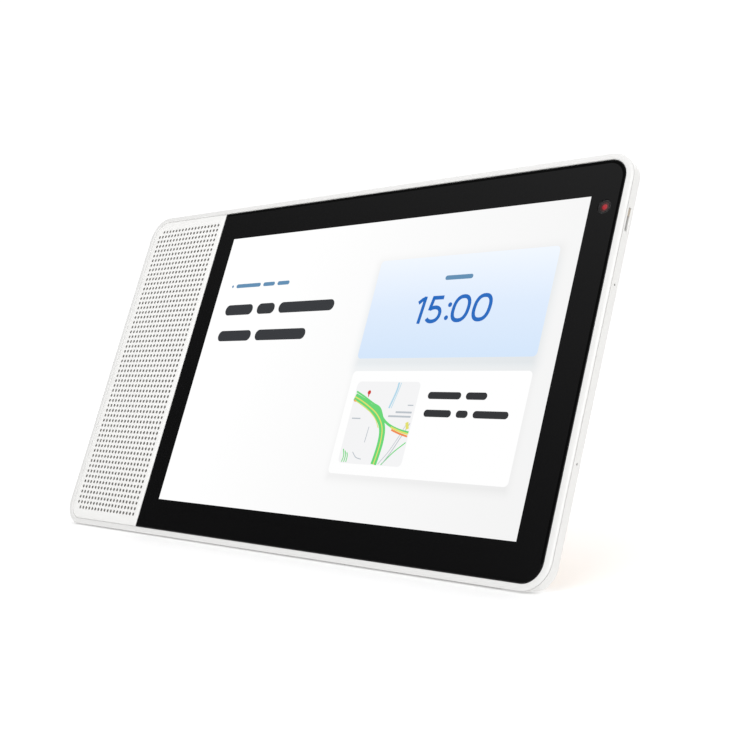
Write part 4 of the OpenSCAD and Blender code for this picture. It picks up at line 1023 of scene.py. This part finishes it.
def end_block(cut_in, reach):
    """A box over all that lies outside a plane cut_in inside the speaker end's face, from reach back."""
    out = np.array([-math.cos(END_LEAN), 0, -math.sin(END_LEAN)])
    down = np.array([math.sin(END_LEAN), 0, -math.cos(END_LEAN)])
    start = np.array([-HALF_W, 0, -EDGE_T]) - out * cut_in
    pts = [start + out * a + down * b + np.array([0, c, 0])
           for a in (0, 60) for b in (reach, 200) for c in (-150, 150)]
    return pts, [(0, 1, 3, 2), (4, 6, 7, 5), (0, 4, 5, 1), (2, 3, 7, 6), (0, 2, 6, 4), (1, 5, 7, 3)]


def peg(centre, axis, r, length, n=24):
    """A round cutter from a point along x, y or z."""
    c = np.asarray(centre, float)
    spin = [2 * math.pi * k / n for k in range(n)]
    others = [np.eye(3)[k] for k in range(3) if k != axis]
    ends = [c, c + np.eye(3)[axis] * length]
    pts = [e + r * (math.cos(a) * others[0] + math.sin(a) * others[1]) for e in ends for a in spin]
    return pts, lidded(2, n)


shell_white = moulded("satin_white_shell", WHITE_SHELL, 0.42, grain=1100, depth=0.00002, mottle=0.014)
SLOT_LOW, SLOT_HIGH, SLOT_W = 53.2, 62.7, 1.5
BUTTON_X, BUTTON_L, BUTTON_Z, BUTTON_W, BUTTON_GAP = (-130.7, -116.7), 10.0, -2.8, 1.6, 0.15
MUTE_X, MUTE_L, MUTE_TRAVEL = -101.7, 4.0, 2.0
SIDE_MICS, TOP_MICS, MIC_R, MIC_Z = (31.35, -37.88), (-56.05, 68.51), 0.5, -2.5
BACK_EDGE_R, BACK_BLEND = 1.0, 3.0
SIDE_T, SKIN_T, SOLE_T = 2.0, 2.7, 2.2
CAP_GAP = 0.12
back_form = lofted_back(0, 0, 0, SHELL_TOP, BACK_EDGE_R, BACK_BLEND)
whole_back = solid("rear_shell_moulded", *back_form)
end_piece = solid("end_cap_moulded", *back_form)
hollow = solid("hollow", *lofted_back(SIDE_T, SKIN_T, SOLE_T, 1.0, 0.3, 2.0, across=40, upward=24))
carved(whole_back, hollow)
shell_cut = solid("end_cut", *end_block(CAP_T + CAP_GAP, 0.05))
carved(whole_back, shell_cut)
CUT = 3
openings = [peg((HALF_W - CUT, y, MIC_Z), 0, MIC_R, 2 * CUT) for y in SIDE_MICS]
openings += [peg((x, HALF_H - CUT, MIC_Z), 1, MIC_R, 2 * CUT) for x in TOP_MICS]
openings.append(block(HALF_W - CUT, HALF_W + CUT, SLOT_LOW, SLOT_HIGH, KNOB_Z - SLOT_W / 2,
                      KNOB_Z + SLOT_W / 2))
for x, long in [(b, BUTTON_L) for b in BUTTON_X] + [(MUTE_X, MUTE_L + MUTE_TRAVEL)]:
    half_l, half_w = long / 2 + BUTTON_GAP, BUTTON_W / 2 + BUTTON_GAP
    openings.append(block(x - half_l, x + half_l, HALF_H - CUT, HALF_H + CUT, BUTTON_Z - half_w,
                          BUTTON_Z + half_w))
slots = solid("slots", *together(openings))
carved(whole_back, slots)


def slot_loop(out, grow):
    """The knob slot's outline, grown all round, at a distance out from the slab's edge."""
    loop = outline(SLOT_LOW - grow, SLOT_HIGH + grow, KNOB_Z - SLOT_W / 2 - grow, KNOB_Z + SLOT_W / 2 + grow,
                   [SLOT_W / 2] * 4, 6)
    return np.column_stack([np.full(len(loop), HALF_W + out), loop])


mouth_loops = [slot_loop(-0.4, 0.02), slot_loop(0.3, 0.72)]
slot_mouth = solid("slot_mouth", np.concatenate(mouth_loops), lidded(2, len(mouth_loops[0])))
carved(whole_back, slot_mouth)
scrap(slot_mouth)

# ---- Back panel -------------------------------------------------------------------------------------------
# A thin veneer of laminated bamboo, let into the back so that a white border is left all round. Its grain
# runs along the slab, in narrow strips of slightly different tone.
PANEL_T, PANEL_BORDER, PANEL_GAP, PANEL_R = 0.9, 6.0, 0.15, 6.0


def panel_grid(gap, columns, rows):
    """Points over the panel's area, kept gap inside its edges, with its distance from the edge."""
    margin = PANEL_BORDER + gap
    edge = np.array([0, 0.06, 0.16, 0.32, 0.6, 1.1, 1.9, 3.0, 4.4, 6.0])
    a = np.concatenate([edge, np.linspace(8, 92, columns), 100 - edge[::-1]])
    right, top_y = HALF_W - margin, HALF_H - margin

    def left_x(y):
        lo, hi = np.full(y.shape, -HALF_W), np.full(y.shape, -60.0)
        for _ in range(40):
            m = (lo + hi) / 2
            end_depth = (m + HALF_W) / math.tan(END_LEAN) - (CAP_T + margin) / math.sin(END_LEAN)
            inside = EDGE_T + end_depth > back_depth(m, y)
            hi, lo = np.where(inside, m, hi), np.where(inside, lo, m)
        return (lo + hi) / 2
    n_a = len(a)
    n_t = len(edge) * 2 + rows
    x = np.tile(np.linspace(-135, right, n_a), (n_t, 1))
    y = np.tile(np.linspace(-60, top_y, n_t)[:, None], (1, n_a))
    for _ in range(25):
        lx = left_x(y)
        width = right - lx
        from_left = np.where(np.arange(n_a) < len(edge), a[None, :],
                             np.where(np.arange(n_a) >= n_a - len(edge), width - (100 - a[None, :]),
                                      6.0 + (a[None, :] - 6) / 88 * (width - 12)))
        x = lx + from_left
        low_y = np.maximum(ridge_y(x, margin), -HALF_H + margin)
        near_end = np.minimum(from_left, width - from_left)
        c = np.clip(near_end, 0, PANEL_R)
        draw_in = PANEL_R - np.sqrt(PANEL_R ** 2 - (PANEL_R - c) ** 2)
        lo, hi = low_y + draw_in, top_y - draw_in
        span = hi - lo
        k = np.arange(n_t)[:, None]
        rest = np.zeros(n_t - len(edge))
        at_low = np.minimum(np.append(edge, rest)[:, None], span / 2)
        at_high = span - np.append(rest, edge[::-1])[:, None]
        between = 6.0 + (k - len(edge) + 1) / (rows + 1) * (span - 12)
        from_low = np.where(k < len(edge), at_low, np.where(k >= n_t - len(edge), at_high, between))
        y = lo + from_low
    near = np.minimum(near_end, np.minimum(from_low, span - from_low))
    return x, y, near


def closed_patch(x, y, z_top, z_low):
    """A solid between two surfaces over the same grid."""
    n, m = x.shape
    pts = np.concatenate([np.stack([x, y, z], -1).reshape(-1, 3) for z in (z_top, z_low)])
    base = n * m
    faces = skin(n, m, round_cols=False)
    faces += [tuple(base + k for k in f[::-1]) for f in skin(n, m, round_cols=False)]
    rim = ([(0, j) for j in range(m - 1)] + [(i, m - 1) for i in range(n - 1)]
           + [(n - 1, j) for j in range(m - 1, 0, -1)] + [(i, 0) for i in range(n - 1, 0, -1)])
    ids = [i * m + j for i, j in rim]
    for k, p in enumerate(ids):
        q = ids[(k + 1) % len(ids)]
        faces.append((p, q, base + q, base + p))
    return pts, faces


PANEL_EDGE_R = 0.3
panel_x, panel_y, near_edge = panel_grid(0, 46, 26)
back = back_depth(panel_x, panel_y)
recess = solid("recess", *closed_patch(panel_x, panel_y, -(back - PANEL_T), -(back + 4)))
carved(whole_back, recess)
panel_x, panel_y, near_edge = panel_grid(PANEL_GAP, 60, 34)
back = back_depth(panel_x, panel_y)
from_crown = np.maximum(PANEL_EDGE_R - near_edge, 0)
ease_off = PANEL_EDGE_R - np.sqrt(np.maximum(PANEL_EDGE_R ** 2 - from_crown ** 2, 0))
veneer = solid("back_panel_veneer", *closed_patch(panel_x, panel_y, -(back - ease_off),
                                                  -(back - PANEL_T + 0.03)))

wood = bpy.data.materials.new("laminated_bamboo")
wood.use_nodes = True
wood_nodes, wood_links = wood.node_tree.nodes, wood.node_tree.links
wood_shader = wood_nodes["Principled BSDF"]
wood_shader.inputs["Coat Weight"].default_value = 0.12
wood_shader.inputs["Coat Roughness"].default_value = 0.35
wood_where = wood_nodes.new("ShaderNodeTexCoord")
strip_map = wood_nodes.new("ShaderNodeMapping")
strip_map.vector_type = "TEXTURE"
strip_map.inputs["Rotation"].default_value = (math.radians(90), 0, 0)
strips = wood_nodes.new("ShaderNodeTexBrick")
strips.offset = 0.37
strips.inputs["Color1"].default_value = (0.60, 0.385, 0.185, 1)
strips.inputs["Color2"].default_value = (0.72, 0.495, 0.265, 1)
strips.inputs["Mortar"].default_value = (0.47, 0.285, 0.125, 1)
strips.inputs["Scale"].default_value = 1.0
strips.inputs["Brick Width"].default_value = 0.23
strips.inputs["Row Height"].default_value = 0.0062
strips.inputs["Mortar Size"].default_value = 0.00012
strips.inputs["Mortar Smooth"].default_value = 0.3
grain_map = wood_nodes.new("ShaderNodeMapping")
grain_map.inputs["Scale"].default_value = (9, 12, 420)
fibre = wood_nodes.new("ShaderNodeTexNoise")
fibre.inputs["Scale"].default_value = 1.0
fibre.inputs["Detail"].default_value = 6
fibre.inputs["Roughness"].default_value = 0.65
strip_shade = wood_nodes.new("ShaderNodeMix")
strip_shade.data_type = "RGBA"
strip_shade.blend_type = "MULTIPLY"
strip_shade.inputs["Factor"].default_value = 0.75
fibre_tone = wood_nodes.new("ShaderNodeValToRGB")
fibre_tone.color_ramp.elements[0].position = 0.3
fibre_tone.color_ramp.elements[0].color = (0.66, 0.6, 0.52, 1)
fibre_tone.color_ramp.elements[1].position = 0.7
fibre_tone.color_ramp.elements[1].color = (1, 1, 1, 1)
wood_rough = wood_nodes.new("ShaderNodeMapRange")
wood_rough.inputs["To Min"].default_value = 0.42
wood_rough.inputs["To Max"].default_value = 0.6
wood_relief = wood_nodes.new("ShaderNodeBump")
wood_relief.inputs["Strength"].default_value = 0.5
wood_relief.inputs["Distance"].default_value = 0.00004
wood_links.new(wood_where.outputs["Object"], strip_map.inputs["Vector"])
wood_links.new(strip_map.outputs["Vector"], strips.inputs["Vector"])
wood_links.new(wood_where.outputs["Object"], grain_map.inputs["Vector"])
wood_links.new(grain_map.outputs["Vector"], fibre.inputs["Vector"])
wood_links.new(fibre.outputs["Fac"], fibre_tone.inputs["Fac"])
wood_links.new(strips.outputs["Color"], strip_shade.inputs["A"])
wood_links.new(fibre_tone.outputs["Color"], strip_shade.inputs["B"])
wood_links.new(strip_shade.outputs["Result"], wood_shader.inputs["Base Color"])
wood_links.new(fibre.outputs["Fac"], wood_rough.inputs["Value"])
wood_links.new(wood_rough.outputs["Result"], wood_shader.inputs["Roughness"])
wood_links.new(fibre.outputs["Fac"], wood_relief.inputs["Height"])
wood_links.new(wood_relief.outputs["Normal"], wood_shader.inputs["Normal"])

# ---- Power inlet ------------------------------------------------------------------------------------------
# A round well in the back of the wedge with the coaxial socket at the bottom of it. The well is a moulded
# cup whose lip follows the slope of the back. It is cut through the shell and the panel, which then get
# their finish here.
INLET_X, INLET_Z, WELL_DEEP, WELL_R = -10.0, 15.0, 5.0, 6.0
ON_BACK = 100


def back_row_y(x, z):
    """Table position of the back surface, in millimetres, at x and at height z above the table."""
    sweep = max(0, (SWEEP_X - x) / (SWEEP_X + HALF_W)) ** SWEEP_POWER
    run = MID_T + SLOPE * sweep * (HALF_H - TOP_IN - EASE / 2)
    y = (z - SHIFT_Z + run * math.sin(LEAN)) / (math.cos(LEAN) + SLOPE * sweep * math.sin(LEAN))
    return SHIFT_Y + y * math.sin(LEAN) + (run - SLOPE * sweep * y) * math.cos(LEAN)


INLET_FLOOR = back_row_y(INLET_X, INLET_Z) - WELL_DEEP


def table_rings(section, n=48):
    """Loops about the inlet's line, in table metres. Each is a radius and a place along the line, which
    counts from the back's surface when it is near ON_BACK."""
    rows = []
    for r, along in section:
        row = []
        for k in range(n):
            a = 2 * math.pi * k / n
            x, z = INLET_X + r * math.cos(a), INLET_Z + r * math.sin(a)
            y = along if along < ON_BACK / 2 else back_row_y(x, z) + along - ON_BACK
            row.append((x / 1000, y / 1000, z / 1000))
        rows.append(row)
    return np.concatenate(rows)


def well_cutter(r, start):
    return table_rings([(r, start), (r, 40.0)]), lidded(2, 48)


for target, r in ((whole_back, WELL_R + 0.02), (veneer, WELL_R + 0.45)):
    drill = solid("drill", *well_cutter(r, INLET_FLOOR - 3), at_table=True)
    carved(target, drill)
    scrap(drill)
SOCKET_R, CUP_T = 4.1, 1.4
cup_section = [(WELL_R, ON_BACK - 0.05), (WELL_R - 0.12, ON_BACK + 0.02), (WELL_R - 0.5, ON_BACK + 0.02),
               (WELL_R - 0.66, ON_BACK - 0.2), (WELL_R - 0.7, INLET_FLOOR + 0.3),
               (WELL_R - 1.0, INLET_FLOOR), (SOCKET_R, INLET_FLOOR), (SOCKET_R, INLET_FLOOR - CUP_T),
               (WELL_R, INLET_FLOOR - CUP_T)]
inlet_cup = solid("inlet_cup", table_rings(cup_section), skin(len(cup_section), 48, round_rows=True),
                  at_table=True)
finished(inlet_cup, shell_white, "housing", crease=50)
inlet_nylon = moulded("inlet_black_nylon", (0.022, 0.022, 0.023), 0.5, grain=900, mottle=0.2, coat=0.1)
dress(inlet_nylon, "power_inlet")

finished(whole_back, shell_white, "housing", ["rear_shell"], crease=30, flats=True)
MESH_R, MESH_IN, MESH_T = MIC_R + 0.2, 1.6, 0.9
meshes = [peg((HALF_W - MESH_IN, y, MIC_Z), 0, MESH_R, MESH_T) for y in SIDE_MICS]
meshes += [peg((x, HALF_H - MESH_IN, MIC_Z), 1, MESH_R, MESH_T) for x in TOP_MICS]
finished(solid("microphone_meshes", *together(meshes)), soft_black, "housing")
cap_zone = solid("cap_zone", *end_block(CAP_T, CAP_GAP))
carved(end_piece, cap_zone, "INTERSECT")
scrap(hollow, shell_cut, slots, recess, cap_zone)
finished(end_piece, shell_white, "housing", ["end_cap"], crease=30, flats=True)
finished(veneer, wood, "housing", ["back_panel"], crease=40)

# ---- Buttons and mute switch ------------------------------------------------------------------------------
# Two volume buttons and a sliding mute switch on the top edge, moulded in the shell's white with rounded
# tops. A raised plus, a raised minus and three grip ribs tell them apart by touch. A flange under each
# keeps it in its slot.
FLANGE_Y, BUTTON_TOP = HALF_H - 2.25, HALF_H + 0.5
FLANGE_T, FLANGE_W, TOUCH_T = 1.0, 1.4, 0.2
LINE_LONG, LINE_HALF, CROSS_LONG, RIB_LONG = 0.55, 0.11, 0.5, 0.5
button_white = moulded("button_white", (0.77, 0.765, 0.75), 0.38, grain=1400, mottle=0.012)


def top_button(x, long, flange):
    y_base = FLANGE_Y - FLANGE_T / 2
    return [cushion_box(x - long / 2, x + long / 2, y_base, BUTTON_TOP - 0.12, BUTTON_Z - BUTTON_W / 2,
                        BUTTON_Z + BUTTON_W / 2, 0.25, "y"),
            block(x - long / 2 - flange, x + long / 2 + flange, FLANGE_Y - FLANGE_T, FLANGE_Y,
                  BUTTON_Z - FLANGE_W / 2, BUTTON_Z + FLANGE_W / 2)]


def raised_line(x, half_x, half_z):
    return block(x - half_x, x + half_x, BUTTON_TOP - TOUCH_T, BUTTON_TOP, BUTTON_Z - half_z,
                 BUTTON_Z + half_z)


minus_x, plus_x = BUTTON_X
minus = [raised_line(minus_x, LINE_LONG, LINE_HALF)]
plus = [raised_line(plus_x, LINE_LONG, LINE_HALF), raised_line(plus_x, LINE_HALF, CROSS_LONG)]
volume_down = solid("volume_down_moulded", *together(top_button(minus_x, BUTTON_L, 1.5) + minus))
finished(volume_down, button_white, "volume_down", ["volume_down_button"])
volume_up = solid("volume_up_moulded", *together(top_button(plus_x, BUTTON_L, 1.5) + plus))
finished(volume_up, button_white, "volume_up", ["volume_up_button"])
mute_rest = MUTE_X - MUTE_TRAVEL / 2
grips = [raised_line(mute_rest + s, RIB_HALF, RIB_LONG) for s in (-0.6, 0, 0.6)]
mute_slider = solid("mute_slider_moulded", *together(top_button(mute_rest, MUTE_L, 1.2) + grips))
finished(mute_slider, button_white, "mute", ["mute_switch"])

# ---- Feet -------------------------------------------------------------------------------------------------
# Light grey rubber: a long strip under the front edge, two round pads under the wedge, and two long pads
# on the speaker end for standing it upright. All are pressed into recesses of their own shape.
rubber = moulded("foot_rubber_grey", (0.42, 0.42, 0.41), 0.75, grain=700, depth=0.00006, mottle=0.08)
dress(rubber, "rubber_feet", "end_feet")

# ---- Panel and electronics inside -------------------------------------------------------------------------
# Nothing here shows from outside: the liquid-crystal cell and its backlight, the aluminium middle plate, the
# board with its cans and leads, and the speaker box with its driver and two passive radiators.
for name, colour, rough, metallic, nodes in (
    ("clear_bond_film", (0.85, 0.88, 0.9), 0.15, 0, ["optical_bond"]),
    ("cell_glass", (0.55, 0.58, 0.6), 0.12, 0, ["lcd_cell"]),
    ("diffuser_acrylic", (0.88, 0.89, 0.9), 0.3, 0, ["light_guide"]),
    ("tray_steel", (0.55, 0.55, 0.56), 0.35, 1, ["backlight_tray", "driver_yoke"]),
    ("led_phosphor", (0.86, 0.78, 0.35), 0.5, 0, ["led_strip"]),
    ("brushed_aluminium", (0.62, 0.63, 0.64), 0.42, 1, ["mid_plate"]),
    ("board_green", (0.02, 0.12, 0.05), 0.4, 0, ["main_board", "display_driver", "camera_board",
                                                "button_board", "side_microphones", "top_microphones"]),
    ("chip_epoxy", (0.03, 0.03, 0.032), 0.6, 0, ["main_chips"]),
    ("flex_amber", (0.5, 0.26, 0.05), 0.35, 0, ["display_ribbon", "camera_ribbon", "antennas"]),
    ("connector_ivory", (0.75, 0.72, 0.6), 0.5, 0, ["board_connectors"]),
    ("gasket_foam", (0.05, 0.05, 0.05), 0.95, 0, ["microphone_gaskets"]),
    ("screw_steel", (0.4, 0.4, 0.41), 0.35, 1, ["plate_screws", "board_screws"]),
    ("can_steel", (0.66, 0.65, 0.62), 0.3, 1, ["shield_cans", "tact_switches"]),
    ("pad_silicone", (0.45, 0.55, 0.66), 0.8, 0, ["thermal_pads"]),
    ("spreader_graphite", (0.16, 0.16, 0.17), 0.4, 1, ["heat_spreader"]),
    ("lead_red", (0.45, 0.03, 0.03), 0.5, 0, ["speaker_lead"]),
    ("coax_black", (0.04, 0.04, 0.04), 0.5, 0, ["antenna_leads"]),
    ("box_black_abs", (0.03, 0.03, 0.031), 0.6, 0, ["speaker_box", "speaker_baffle"]),
    ("basket_pressed_steel", (0.12, 0.12, 0.125), 0.45, 1, ["driver_basket"]),
    ("magnet_ferrite", (0.06, 0.06, 0.062), 0.7, 0, ["driver_magnet"]),
    ("surround_rubber", (0.025, 0.025, 0.026), 0.7, 0, ["driver_surround", "radiator_surrounds"]),
    ("spider_cloth", (0.5, 0.36, 0.16), 0.9, 0, ["driver_spider"]),
    ("coil_copper", (0.72, 0.32, 0.14), 0.35, 1, ["voice_coil"]),
    ("cone_paper", (0.05, 0.048, 0.045), 0.85, 0, ["driver_cone", "dust_cap", "upper_radiator",
                                                   "lower_radiator"]),
):
    dress(moulded(name, colour, rough, metallic=metallic, mottle=0.1), *nodes)
